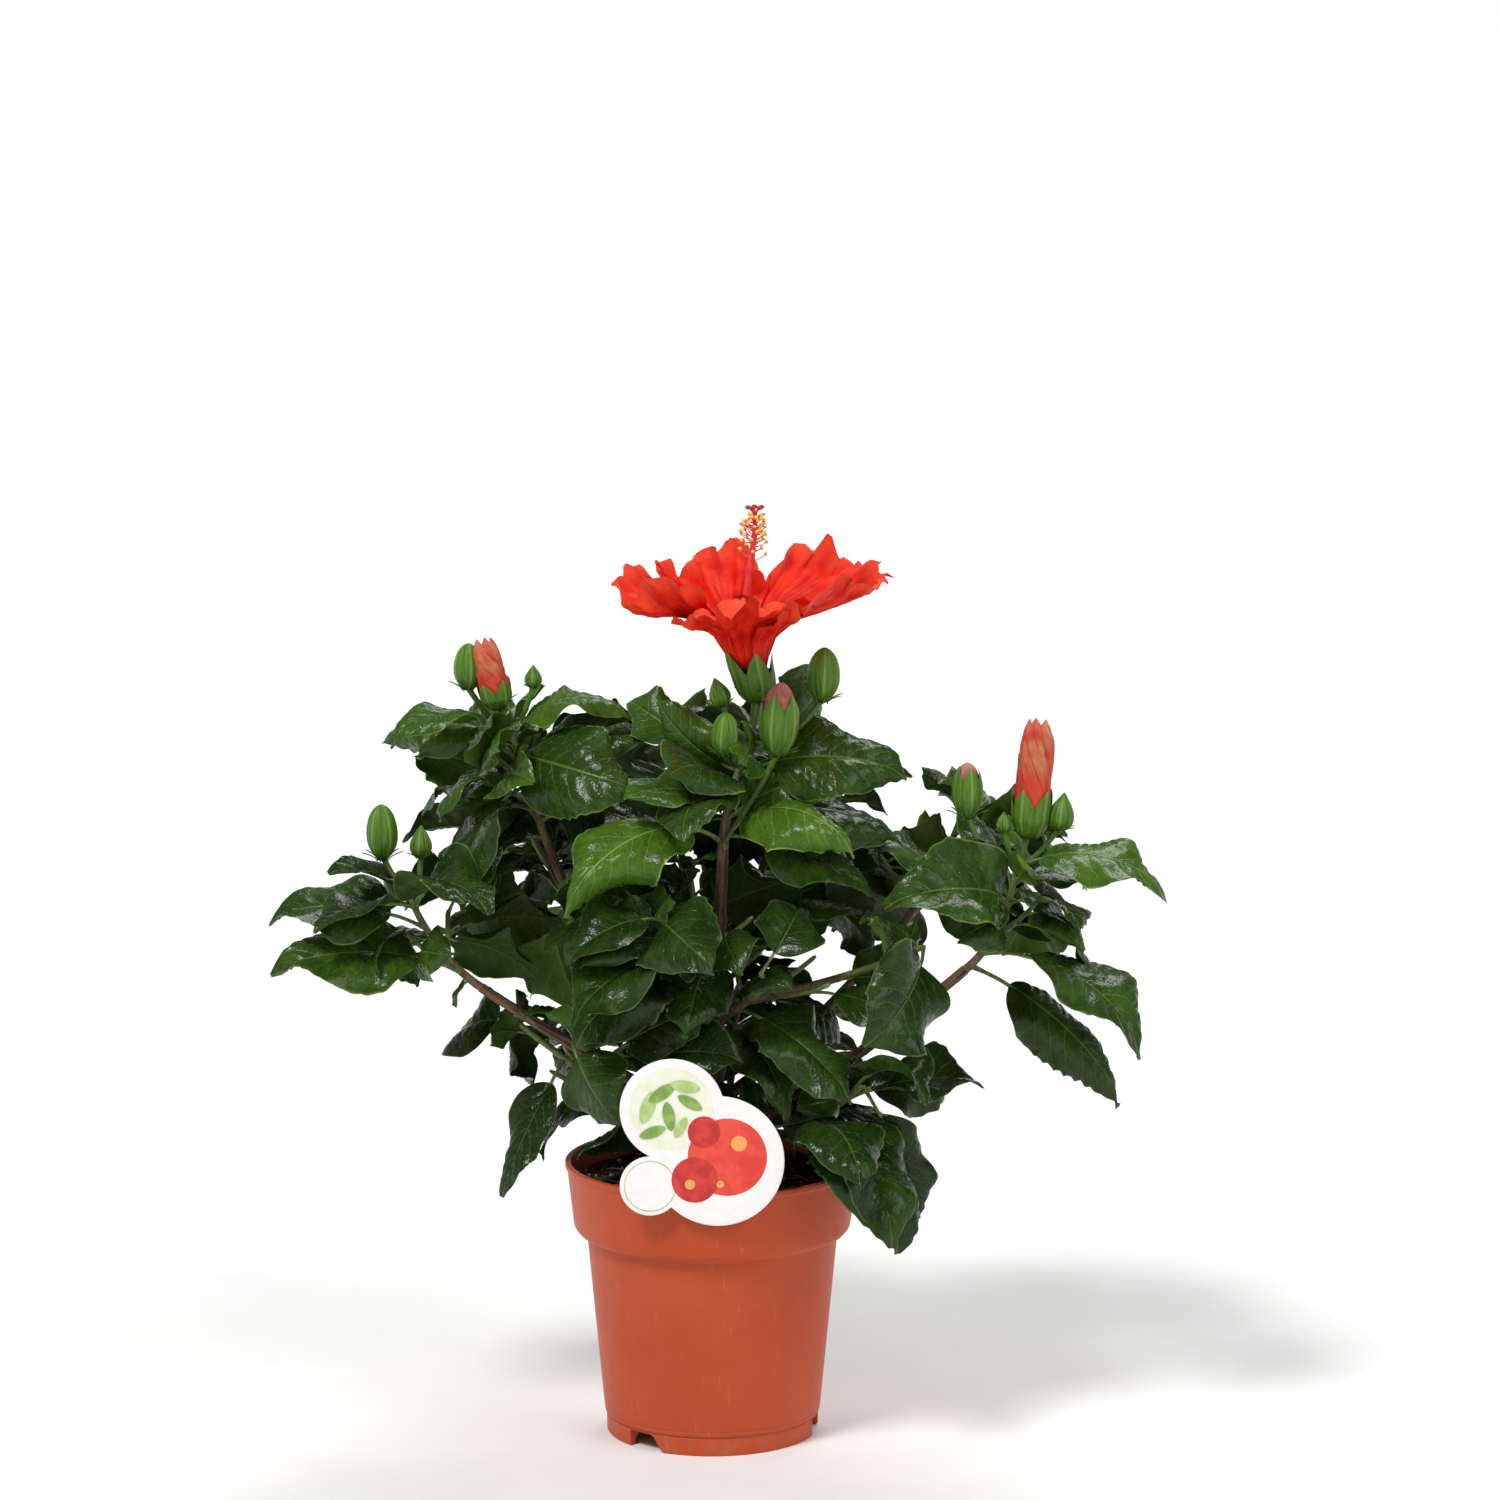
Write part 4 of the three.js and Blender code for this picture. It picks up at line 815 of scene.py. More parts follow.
class Maker(Nodes):
    """A material of one principled shader, whose colours are painted one over the other."""

    def __init__(self, name, colour, specular=0.5):
        self.material = bpy.data.materials.new(name)
        self.material.use_nodes = True
        super().__init__(self.material.node_tree)
        self.sockets = self.tree.nodes["Principled BSDF"].inputs
        self.sockets["Specular IOR Level"].default_value = specular
        self.colour = colour

    def mix(self, share, a, b):
        node = self.node("Mix", {0: share}, data_type="RGBA")
        colours = [socket for socket in node.inputs if socket.type == "RGBA"]
        for socket, value in zip(colours, (a, b)):
            self.put(socket, (*value, 1) if isinstance(value, tuple) else value)
        return next(socket for socket in node.outputs if socket.type == "RGBA")

    def paint(self, share, colour, amount=1.0):
        """Lays a colour over those before it; share is where it lies, amount how much of it."""
        if amount < 1:
            share = self.times(share, amount)
        self.colour = self.mix(share, self.colour, colour)

    def place(self):
        """The three values that a piece keeps at each point."""
        return self.node("Attribute", {}, attribute_name="place").outputs["Vector"]

    def stretched(self, vector, unit_size, stretch):
        """A vector in units of a size, with its third part divided by a stretch."""
        values = {0: vector, 1: (1 / unit_size, 1 / unit_size, 1 / unit_size / stretch)}
        return self.node("VectorMath", values, operation="MULTIPLY").outputs[0]

    def where(self, stretch=1):
        """Position in millimetres."""
        return self.stretched(self.node("TexCoord", {}).outputs["Object"], MM, stretch)

    def noise(self, size, detail=2, vector=None, stretch=1):
        values = {"Vector": vector or self.where(stretch), "Scale": 1 / size, "Detail": detail}
        return self.node("TexNoise", {**values, "Roughness": 0.55}).outputs[0]

    def clouds(self, size, detail, low, high):
        return self.ease(self.noise(size, detail), low, high)

    def cells(self, size, feature="F1"):
        values = {"Vector": self.where(), "Scale": 1 / size}
        return self.node("TexVoronoi", values, feature=feature).outputs["Distance"]

    def finish(self, roughness, *bumps):
        """Links the colour and roughness, and bumps given as (height, its depth in millimetres)."""
        values = {"Base Color": self.colour, "Roughness": roughness}
        for height, depth in bumps:
            bump = {"Height": height, "Distance": depth * MM, "Strength": 1.0}
            if "Normal" in values:
                bump["Normal"] = values["Normal"]
            values["Normal"] = self.node("Bump", bump).outputs[0]
        for key, value in values.items():
            self.put(self.sockets[key], value)
        return self.material


VEINS = 7.5
VEIN_RISE = 0.34
VEIN_FLATTEN = 0.12
VEIN_CURVE = 1.2


def leaf_material(name, deep, light, vein, shine, under=False):
    """Blade of one tone: mottled green between pale veins, with a pale margin and a few flecks."""
    m = Maker(name, deep, 0.10 if under else 0.20)
    u, v, chance = m.parts(m.place())
    reach = m.math("ABSOLUTE", m.scaled(v, 2.0, -1.0))
    rise = m.times(m.math("POWER", reach, VEIN_CURVE), m.scaled(u, -VEIN_FLATTEN, VEIN_RISE))
    wander = m.scaled(m.noise(7, 1), 0.05, -0.025)
    number = m.times(m.math("ADD", m.math("SUBTRACT", u, rise), wander), VEINS)
    away = m.times(m.math("PINGPONG", number, 0.5), 2.0)
    side_vein = m.times(m.ease(away, 0.11, 0.02), m.ease(reach, 1.0, 0.45))
    midrib = m.ease(reach, m.scaled(u, -0.012, 0.04), 0.012)
    lines = m.math("MAXIMUM", m.times(side_vein, 0.32), m.times(midrib, 0.6))
    net = m.cells(2.3, "DISTANCE_TO_EDGE")
    fine = m.noise(1.6)
    tone = m.scaled(m.clouds(11, 3, 0.35, 0.68), 0.5, m.times(fine, 0.35))
    m.paint(m.ease(m.math("ADD", tone, m.scaled(chance, 0.5, -0.25)), 0.1, 0.95), light)
    m.paint(m.ease(net, 0.09, 0.0), vein, 0.10)
    m.paint(lines, vein)
    m.paint(m.ease(reach, 0.955, 0.99), vein, 0.7)
    m.paint(m.times(m.ease(m.cells(4.2), 0.075, 0.035), m.clouds(16, 1, 0.5, 0.62)), (0.50, 0.44, 0.26), 0.8)
    ribs = m.times(lines, 1.0 if under else -1.0)
    puckers = m.ease(net, 0.0, 0.25)
    return m.finish(m.scaled(m.noise(12), 0.09, shine), (puckers, 0.05), (ribs, 0.20), (fine, 0.02))


def skin_material(name, old, young):
    """Stems: bark at the thick end that turns green towards the tip."""
    m = Maker(name, None, 0.25)
    lines = m.noise(1.4, 3, stretch=5)
    age = m.ease(m.scaled(m.noise(9), 0.5, m.parts(m.place())[0]), 0.6, 1.15)
    m.colour = m.mix(m.ease(lines, 0.35, 0.65), shade(old, 0.55), shade(old, 1.3))
    m.paint(age, m.mix(lines, shade(young, 0.7), shade(young, 1.25)))
    dots = m.ease(m.cells(3.4), 0.16, 0.08)
    m.paint(dots, (0.30, 0.24, 0.16), 0.35)
    return m.finish(m.scaled(lines, 0.25, 0.42), (lines, 0.35), (dots, 0.12))


def bark_material():
    m = Maker("bark", (0.045, 0.027, 0.016), 0.3)
    lines = m.noise(1.1, 4, m.stretched(m.place(), 1, 12))
    bands = m.noise(2.6, 3, m.stretched(m.place(), 1, 5))
    m.paint(m.ease(lines, 0.38, 0.62), (0.19, 0.108, 0.060))
    m.paint(m.ease(bands, 0.5, 0.75), (0.31, 0.235, 0.155), 0.6)
    m.paint(m.clouds(14, 3, 0.55, 0.75), (0.13, 0.11, 0.05), 0.4)
    return m.finish(m.scaled(lines, 0.2, 0.68), (lines, 0.5), (bands, 0.3))


def pot_material():
    """Moulded plastic: satin, with faint scuffs, dust near the foot and fine grain."""
    m = Maker("pot_plastic", (0.45, 0.063, 0.018), 0.2)
    height = m.parts(m.where())[2]
    m.paint(m.clouds(38, 3, 0.3, 0.7), (0.48, 0.075, 0.024))
    m.paint(m.clouds(17, 2, 0.55, 0.8), (0.40, 0.053, 0.016), 0.35)
    m.paint(m.ease(m.noise(2.2, 4, stretch=6), 0.62, 0.8), (0.62, 0.30, 0.20), 0.25)
    m.paint(m.times(m.ease(height, 16, 0), m.clouds(6, 4, 0.35, 0.7)), (0.30, 0.17, 0.11), 0.3)
    return m.finish(m.scaled(m.noise(9, 3), 0.16, 0.36), (m.noise(0.7), 0.03), (m.noise(14), 0.12))


def peat_material():
    dark = (0.040, 0.023, 0.013)
    m = Maker("peat", dark, 0.2)
    grain = m.noise(1.3, 4)
    m.paint(m.ease(grain, 0.35, 0.7), (0.165, 0.095, 0.048))
    m.paint(m.clouds(9, 2, 0.4, 0.7), shade(dark, 0.6))
    return m.finish(m.scaled(grain, 0.15, 0.82), (m.cells(3.1), 0.9), (grain, 0.6))


def petal_material(name, deep, bright, edge, vein, swirl=0.0):
    """Veins from a darker throat to a paler, crinkled rim, whose paleness is partly the petal's own colour
    and partly a painted highlight along the rolled edge; swirl winds them round a rolled flower.
    """
    m = Maker(name, deep, 0.12)
    m.sockets["Subsurface Weight"].default_value = 0.1
    m.sockets["Subsurface Radius"].default_value = (0.004, 0.0012, 0.0008)
    u, v, chance = m.parts(m.place())
    across = m.times(m.scaled(u, swirl, v), 34.0)
    streak = m.noise(1.0, 3, m.joined(across, m.times(u, 3.0), chance))
    m.paint(m.clouds(9, 2, 0.3, 0.7), bright)
    if swirl:
        slow = m.joined(m.times(across, 0.09), m.times(u, 1.8), chance)
        m.paint(m.ease(m.noise(1.0, 3, slow), 0.47, 0.7), (0.54, 0.34, 0.16), 0.6)
        m.paint(m.ease(u, 0.66, 0.45), deep, 0.7)
    m.paint(m.ease(streak, 0.48, 0.68), vein, 0.6)
    # Paler rim: partly the petal's own colour, partly a painted highlight on the rolled edge
    m.paint(m.ease(u, 0.86, 1.0), edge, 0.45)
    m.paint(m.ease(u, 0.22, 0.04), shade(deep, 0.45))
    return m.finish(m.scaled(streak, 0.2, 0.45), (streak, 0.4), (m.noise(1.2), 0.05))


def green_material(name, deep, light, rib, ribs=5):
    """Buds and calyx: streaked green, with painted shade darkening the grooves between sepals and the hollow
    at the foot, and a pale line along each.
    """
    m = Maker(name, deep, 0.25)
    u, v, _ = m.parts(m.place())
    wave = m.math("PINGPONG", m.times(v, ribs), 0.5)
    groove = m.ease(wave, 0.10, 0.0)
    line = m.times(m.ease(wave, 0.40, 0.49), 0.5)
    streak = m.noise(1.0, 2, m.joined(m.times(v, 40.0), m.times(u, 3.0)))
    m.paint(m.ease(streak, 0.25, 0.75), light)
    m.paint(m.ease(u, 0.3, 0.8), light, 0.4)
    m.paint(line, rib)
    # Painted shade: the grooves between sepals are darkened
    m.paint(groove, deep, 0.6)
    # Painted shade: the hollow at the foot is darkened
    m.paint(m.ease(u, 0.12, 0.0), shade(deep, 0.4))
    return m.finish(m.scaled(streak, 0.2, 0.34), (groove, -0.2), (line, 0.15), (streak, 0.1))


def plain_material(name, colour, other, size, rough=0.4, depth=0.02):
    """Two close colours mottled at a size, with a matching grain."""
    m = Maker(name, colour)
    grain = m.noise(size, 3)
    m.paint(m.ease(grain, 0.35, 0.65), other)
    return m.finish(m.scaled(grain, 0.12, rough), (grain, depth))


# Leaf tones, darkest first: deep is painted shade for leaves inside the crown; young and fresh are partly
# the paler green of young leaves and partly painted light
TONES = {
    "deep": ((0.009, 0.024, 0.003), (0.023, 0.054, 0.006), (0.09, 0.16, 0.03), 0.18),
    "green": ((0.016, 0.043, 0.004), (0.040, 0.090, 0.008), (0.13, 0.22, 0.04), 0.18),
    "young": ((0.030, 0.078, 0.006), (0.064, 0.140, 0.011), (0.18, 0.30, 0.06), 0.20),
    "fresh": ((0.042, 0.102, 0.006), (0.090, 0.182, 0.013), (0.25, 0.37, 0.07), 0.21),
}
# How much light a leaf gets before it takes the next tone; the darker tones are painted shade for low, inner
# leaves and the lighter ones partly painted light for high, outer leaves
TONE_LIMITS = (0.42, 1.0, 1.25)


def make_leaf_materials():
    tops, backs = [], []
    for name, (deep, light, vein, shine) in TONES.items():
        dull = tuple(0.75 * a + 0.25 * b + 0.012 for a, b in zip(light, vein))
        tops.append(leaf_material(f"leaf_{name}", deep, light, vein, shine))
        backs.append(leaf_material(f"leaf_{name}_back", light, dull, vein, 0.42, under=True))
    return [*tops, *backs, skin_material("petiole", (0.12, 0.17, 0.05), (0.16, 0.26, 0.06))]


# Leaves
HALF_COLUMNS = [0.05, 0.18, 0.34, 0.51, 0.68, 0.83, 0.94, 1]
LEAF_COLUMNS = [-v for v in reversed(HALF_COLUMNS)] + [0, *HALF_COLUMNS]
ROW_LENGTH = 1.45
FEWEST_ROWS = 20
MOST_ROWS = 58
FIRST_ROW = 0.0006
LAST_ROW = 0.9955
USUAL_LENGTH = 70
MIDRIB = 0.03
LEAF_THICK = 0.16
TOOTH_LENGTH = 6.5
TOOTH_DEPTH = 2.6
PUCKER = 1.8
MARGIN_WAVE = 4.8
TIP_CURL = 5.0
FOLD = 2.0
YOUNG_FOLD = 8.0
YOUNG_WIDTH = 0.8
PETIOLE_RINGS = 7


def leaf_teeth(leaf, u, v):
    """Small uneven teeth that lean towards the tip, drawn only near the margins."""
    length = leaf_length(leaf)
    half = 0.5 * leaf.width * length * np.maximum(blade_profile(u), 0.25)
    wobble = 0.6 * np.sin(5 * u + 3 * leaf.phase) + np.where(v > 0, 0.4, 0)
    saw = (u * length * 0.8 / TOOTH_LENGTH + leaf.phase + wobble) % 1
    tooth = saw**1.3 * (1 - saw**7)
    strength = smooth(u, 0.2, 0.4) * smooth(u, 1, 0.9) * (0.6 + 0.4 * np.sin(11 * u + leaf.phase))
    return 1 + TOOTH_DEPTH / half * strength * (tooth - 0.3) * np.abs(v) ** 6


def leaf_skin(leaf, chance):
    rows = int(np.clip(leaf_length(leaf) / ROW_LENGTH, FEWEST_ROWS, MOST_ROWS))
    u = FIRST_ROW + (LAST_ROW - FIRST_ROW) * np.linspace(0, 1, rows) ** 1.1
    u, v = np.meshgrid(u, LEAF_COLUMNS, indexing="ij")
    young = leaf.tone == "fresh"
    middle = blade_point(leaf, u, v, leaf_teeth(leaf, u, v) * (YOUNG_WIDTH if young else 1))
    reach = np.abs(v)
    scale = leaf_length(leaf) / USUAL_LENGTH
    number = (u - (VEIN_RISE - VEIN_FLATTEN * u) * reach**VEIN_CURVE) * VEINS
    between = np.abs(np.sin(math.pi * number)) ** 0.8 - 0.55
    room = smooth(reach, 0, 0.3) * (1 - reach**8) * smooth(u, 0, 0.12) * smooth(u, 1, 0.75)
    relief = PUCKER * scale * between * room
    relief = relief + 0.7 * scale * noise(middle, 9, 3) * smooth(reach, 0, 0.4) * smooth(u, 1, 0.8)
    waves = MARGIN_WAVE * noise(middle, 16, 5) - 1.6 + 2.2 * math.sin(3 * leaf.phase)
    fold = YOUNG_FOLD if young else FOLD * (1 + math.sin(7 * leaf.phase))
    waves = waves * smooth(u, 0, 0.25) - fold * smooth(u, 0, 0.5)
    relief = relief + scale * waves * reach**2 * smooth(u, 1, 0.72)
    relief = relief - TIP_CURL * scale * smooth(u, 0.72, 1.12) ** 1.5
    thick = LEAF_THICK * (1 - reach**6) + 0.02
    groove = np.where(reach < MIDRIB, 0.25, 0) * scale * smooth(u, 1, 0.9)
    rib = np.where(reach < MIDRIB, 0.75, 0) * scale * (1 - 0.9 * u)
    normals = grid_normals(middle)
    upper = middle + normals * (relief + thick - groove)[..., None]
    lower = middle + normals * (relief - thick - rib)[..., None]
    return closed_sheet(upper, lower, u, (v + 1) / 2, chance)


def leaf_stalk(leaf):
    """The petiole, swollen at its foot, runs a little way under the blade."""
    q = np.linspace(0, leaf.petiole * 1.18, PETIOLE_RINGS)
    points, normals = leaf_arc(leaf, q)
    sink = 0.5 * smooth(q, leaf.petiole * 0.8, leaf.petiole * 1.1)
    radii = np.interp(q / q[-1], [0, 0.12, 0.3, 0.9, 1], [1.35, 1.15, 0.85, 0.8, 0.45])
    return sweep(points - normals * sink[:, None], radii * (0.6 + 0.4 * leaf_length(leaf) / 75), 7)


def pick_tone(leaf, draw):
    """A named leaf keeps its tone; the others are dealt out by height and by how far out they reach, as
    painted light and shade: low, inner leaves get darker tones and high, outer ones lighter tones, and small
    leaves count as young and paler.
    """
    if leaf.tone:
        return list(TONES).index(leaf.tone)
    x, y, z = leaf.root + leaf.along * leaf.chord
    light = (z - 190) / 220 + np.hypot(x, y) / 420 + (draw() - 0.5) * 0.7
    if leaf_length(leaf) < 38:
        light += 0.45
    return sum(light > limit for limit in TONE_LIMITS)


def make_foliage(part, materials):
    draw = make_random(part.seed * 31)
    piece = Piece(f"leaves_{part.name}", "foliage", *materials)
    for leaf in part.grown:
        tone = pick_tone(leaf, draw)
        piece.add(leaf_skin(leaf, draw()), (tone, tone + len(TONES)))
        piece.add(leaf_stalk(leaf), 2 * len(TONES))
    piece.make(f"foliage_{part.name}")


# Limbs
def stem_line(stem, step):
    count = max(4, math.ceil(np.linalg.norm(stem.tip - stem.start) / step))
    return stem_point(stem, np.linspace(0, 1, count + 1))


def stem_relief(height, seed):
    """Bark ridges along a limb, and a low ring at every leaf scar."""
    def relief(length, turn):
        ridges = noise(polar(2.2, turn, length * 0.07), 0.9, seed)
        rings = bell((length + seed * 3.7) % SCAR_STEP, SCAR_STEP / 2, SCAR_WIDTH)
        return height * (0.55 * ridges + 0.75 * rings * (0.6 + 0.4 * np.cos(turn + seed)))
    return relief


# The trunk's foot flares out, and sinks a little into the peat
FLARE_HEIGHTS = [0, 3, 8, 16, 24]
FLARE_RADII = [8, 5.6, 4.3, 3.6, 3.3]
FOOT_SINK = 1.5
ROOT_RELIEF = 1.3
ROOTS = 5
BOUGH_STEP = 1.4
SCAR_STEP = 13
SCAR_WIDTH = 0.9


def barked(line, radii, sides, relief, shift=0):
    """A limb whose place values are millimetres round it and along it."""
    points, faces, place = sweep(line, radii, sides, relief)
    total = np.linalg.norm(np.diff(line, axis=0), axis=1).sum()
    return points, faces, polar(3, place[:, 1] * TURN, place[:, 0] * total + shift)


def make_bark(material):
    piece = Piece("bark_limbs", "bark", material)
    line = stem_line(TRUNK, 1.0)
    height = line[:, 2] - line[0, 2]
    taper = np.linspace(*TRUNK.radius, len(line))
    flared = np.maximum(np.interp(height, FLARE_HEIGHTS, FLARE_RADII), taper)
    radii = np.where(height < FLARE_HEIGHTS[-1], flared, taper)
    line[0] -= UP * FOOT_SINK
    bark = stem_relief(0.45, 1)

    def trunk_relief(length, turn):
        return bark(length, turn) + ROOT_RELIEF * np.exp(-length / 5) * np.cos(ROOTS * turn + 1)

    piece.add(barked(line, radii, 36, trunk_relief))
    for k, stem in enumerate(BOUGHS.values()):
        line = stem_line(stem, BOUGH_STEP)
        collar = 0.8 * np.exp(-np.arange(len(line)) * BOUGH_STEP / 6)
        radii = np.linspace(*stem.radius, len(line)) + collar
        piece.add(barked(line, radii, 24, stem_relief(0.3, 3 + k), 40 * k))
    piece.make("trunk", *[f"bough_{name}" for name in BOUGHS])


def make_twigs(part, material):
    piece = Piece(f"twigs_{part.name}", "bark", material)
    for k, stem in enumerate([part.stem, *part.side_twigs]):
        line = stem_line(stem, 2.0)
        if k == 0 and not part.height:
            line = np.concatenate([[line[0] - unit(line[1] - line[0]) * 2.5], line])
        radii = np.linspace(*stem.radius, len(line))
        radii[-1] *= 0.6
        points, faces, place = sweep(line, radii, 10 if k else 14, stem_relief(0.16, 11 + k))
        if k:
            place[:, 0] = 0.4 + 0.6 * place[:, 0]
        piece.add((points, faces, place))
    piece.make(f"foliage_{part.name}")


# Buds and spent flowers
STALK, GREEN, PINK, SPENT, BRACT = range(5)
BUD_SIDES = 60
BUD_PROFILE = np.array([
    (0, 0.26), (0.05, 0.44), (0.13, 0.66), (0.24, 0.87), (0.36, 0.98), (0.48, 1.0), (0.6, 0.97),
    (0.72, 0.88), (0.82, 0.75), (0.9, 0.58), (0.96, 0.38), (1.0, 0.14),
])
POINTED_PROFILE = np.array([
    (0, 0.28), (0.06, 0.58), (0.15, 0.84), (0.27, 0.98), (0.38, 1.0), (0.5, 0.93), (0.62, 0.78),
    (0.74, 0.58), (0.85, 0.36), (0.94, 0.18), (1.0, 0.06),
])
SPENT_PROFILE = np.array([
    (0, 0.42), (0.08, 0.78), (0.2, 0.98), (0.34, 0.97), (0.5, 0.92), (0.66, 0.95), (0.78, 0.92),
    (0.88, 0.80), (0.95, 0.62), (1.0, 0.34),
])
SPENT_CUP = np.array([(0, 0.40), (0.12, 0.72), (0.35, 0.98), (0.7, 1.04), (1, 1.04)])
BLUNT_LENGTH = 18
BRACTS = 7
FOLD_WIND = 4.2


def axes_about(axis):
    side = unit(vec(1, 0, 0) - axis * axis[0])
    return np.stack([side, np.cross(axis, side), axis])


def round_body(profile, length, radius, rings, relief):
    """A closed bud shape about its own axis; relief changes its radius by share of height and turn."""
    t = np.linspace(0, 1, rings)[:, None]
    turn = full_turn(BUD_SIDES)
    wide = np.interp(t, *profile.T) * radius * (1 + relief(t, turn))
    points = np.concatenate([polar(wide, turn, t * length).reshape(-1, 3), [(0, 0, 0), (0, 0, length)]])
    return points, tube_faces(rings, BUD_SIDES), tube_place(t, turn)


def sheet_grid(rows, columns):
    return np.meshgrid(np.linspace(0, 1, rows), np.linspace(-1, 1, columns), indexing="ij")


def lobe(turn, start, rise, width, curl, foot_radius):
    """A pointed strip: a bract or a lobe of the calyx, from a ring round the axis, curling out."""
    u, v = sheet_grid(12, 7)
    half = width * 0.5 * (1 - u**1.6) ** 0.8 * (0.55 + 0.45 * np.sqrt(u + 0.05)) + 0.05
    angle = turn + v * half / max(foot_radius, 1.5) * (1 - 0.3 * u)
    points = polar(foot_radius + curl * u * u, angle, start + rise * u)
    skin = grid_normals(points) * (0.25 * (1 - np.abs(v) ** 4))[..., None]
    return closed_sheet(points + skin, points - skin, u, (v + 1) / 2)


def sepal_cup(profile, length, radius, notch, tip, turn):
    """Five joined sepals round a bud: a thin cup whose rim dips at the notches and rises to pointed tips."""
    u, v = sheet_grid(20, BUD_SIDES + 1)
    angle = (v + 1) / 2 * TURN + math.pi / 2
    number = (angle - turn) * 5 / TURN
    across = np.abs(2 * (number % 1) - 1)
    share = u * (notch + (tip - notch) * (1 - across) ** 0.7)
    radii = radius * np.interp(share, *profile.T)
    radii = radii * (1 - 0.07 * across**6 * smooth(u, 0, 0.3)) + 0.3 * smooth(u, 0.75, 1)
    skin = 0.3 * (1 - u**8)
    shells = [polar(wide, angle, share * length) for wide in (radii + skin, radii - skin)]
    points, faces, place = closed_sheet(*shells, u, number / 5)
    return points, [block[:, ::-1] for block in faces], place


def add_bud(piece, part, item, seed):
    line = stem_line(bud_stalk(part, item), 1.6)
    points, faces, place = sweep(line, np.linspace(1.0, 1.35, len(line)), 9)
    place[:, 0] = 0.75
    piece.add((points, faces, place), STALK)
    length, radius = item.length, item.radius
    spot = item.base, axes_about(item.axis)
    phase = seed * 1.7

    def ribs(t, turn):
        five = np.abs(np.sin(2.5 * (turn - phase)))
        return 0.10 * (five**0.5 - 0.6) * smooth(t, 0, 0.2) + 0.015 * np.sin(15 * turn + 4 * t)

    def folds(t, turn):
        overlap = (turn * 5 + FOLD_WIND * t + phase) / TURN % 1
        fine = 0.02 * np.sin(17 * turn + 9 * t) * smooth(t, 0.3, 0.6)
        return 0.15 * (overlap - 0.5) * smooth(t, 0.05, 0.3) + fine

    if item.spent:
        points, faces, place = round_body(SPENT_PROFILE, length, radius, 44, folds)
        t = place[:, 0]
        tips = 1 - np.abs(2 * ((place[:, 1] * 5 + (FOLD_WIND * t + phase) / TURN) % 1) - 1)
        points[:, 2] += np.where(t < 0.99, smooth(t, 0.8, 0.93) * 3.2 * (tips - 0.4), -3)
        piece.add((points, faces, place), SPENT, *spot)
        piece.add(sepal_cup(SPENT_CUP, 0.43 * length, radius * 1.04, 0.58, 1.0, phase), GREEN, *spot)
    elif item.pink:
        piece.add(round_body(BUD_PROFILE, length * 0.98, radius * 0.9, 34, folds), PINK, *spot)
        sepals = 1.0 - 0.45 * item.pink
        piece.add(sepal_cup(BUD_PROFILE, length, radius, sepals - 0.26, sepals, phase), GREEN, *spot)
    else:
        profile = BUD_PROFILE if length > BLUNT_LENGTH else POINTED_PROFILE
        points, faces, place = round_body(profile, length, radius, 34, ribs)
        place[:, 1] -= phase / TURN
        piece.add((points, faces, place), GREEN, *spot)
    for k in range(BRACTS):
        sizes = -0.4, min(length * 0.2, 4.5), 0.9, min(length * 0.3, 7), radius * 0.3 + 0.5
        piece.add(lobe(phase + k * TURN / BRACTS, *sizes), BRACT, *spot)


def make_buds(part, materials):
    if not part.buds:
        return
    piece = Piece(f"buds_{part.name}", "bloom", *materials)
    for k, item in enumerate(part.buds):
        add_bud(piece, part, item, part.seed + k)
    piece.make(f"foliage_{part.name}")


# The open flower: a flatter trumpet than the solid's, each petal's lift, dips in the rim and one curled peak
PETAL_ROWS = 56
PETAL_COLUMNS = 57
TRUMPET = np.array([
    (0, 0.05, 0), (0.2, 0.12, 0.22), (0.36, 0.19, 0.41), (0.52, 0.36, 0.58), (0.72, 0.64, 0.76),
    (1, 1, 0.98),
])
RIM_PLANE = 56
LIFTS = (-9, -1, -1, 2, 0)
RIM_DIPS = ((83, 9, 10), (99, 7, -8), (128, 12, 8), (203, 11, 11))
PEAK_PETAL = 2
PEAK_AT = 0.16
PEAK_RISE = 13
THROAT_LEAN = 4.6
BLOOM_SPOT = BLOOM_BASE, axes_about(BLOOM_AXIS)
BLOOM_CUP = np.array([(0, 0.3), (0.05, 0.6), (0.16, 0.86), (0.32, 1.0), (0.55, 1.07), (0.8, 1.12), (1, 1.2)])
CUP_LENGTH = 23.5
CUP_TURN = 0.68
CALYX_LOBES = 8
STAMENS = 64
STIGMAS = 5


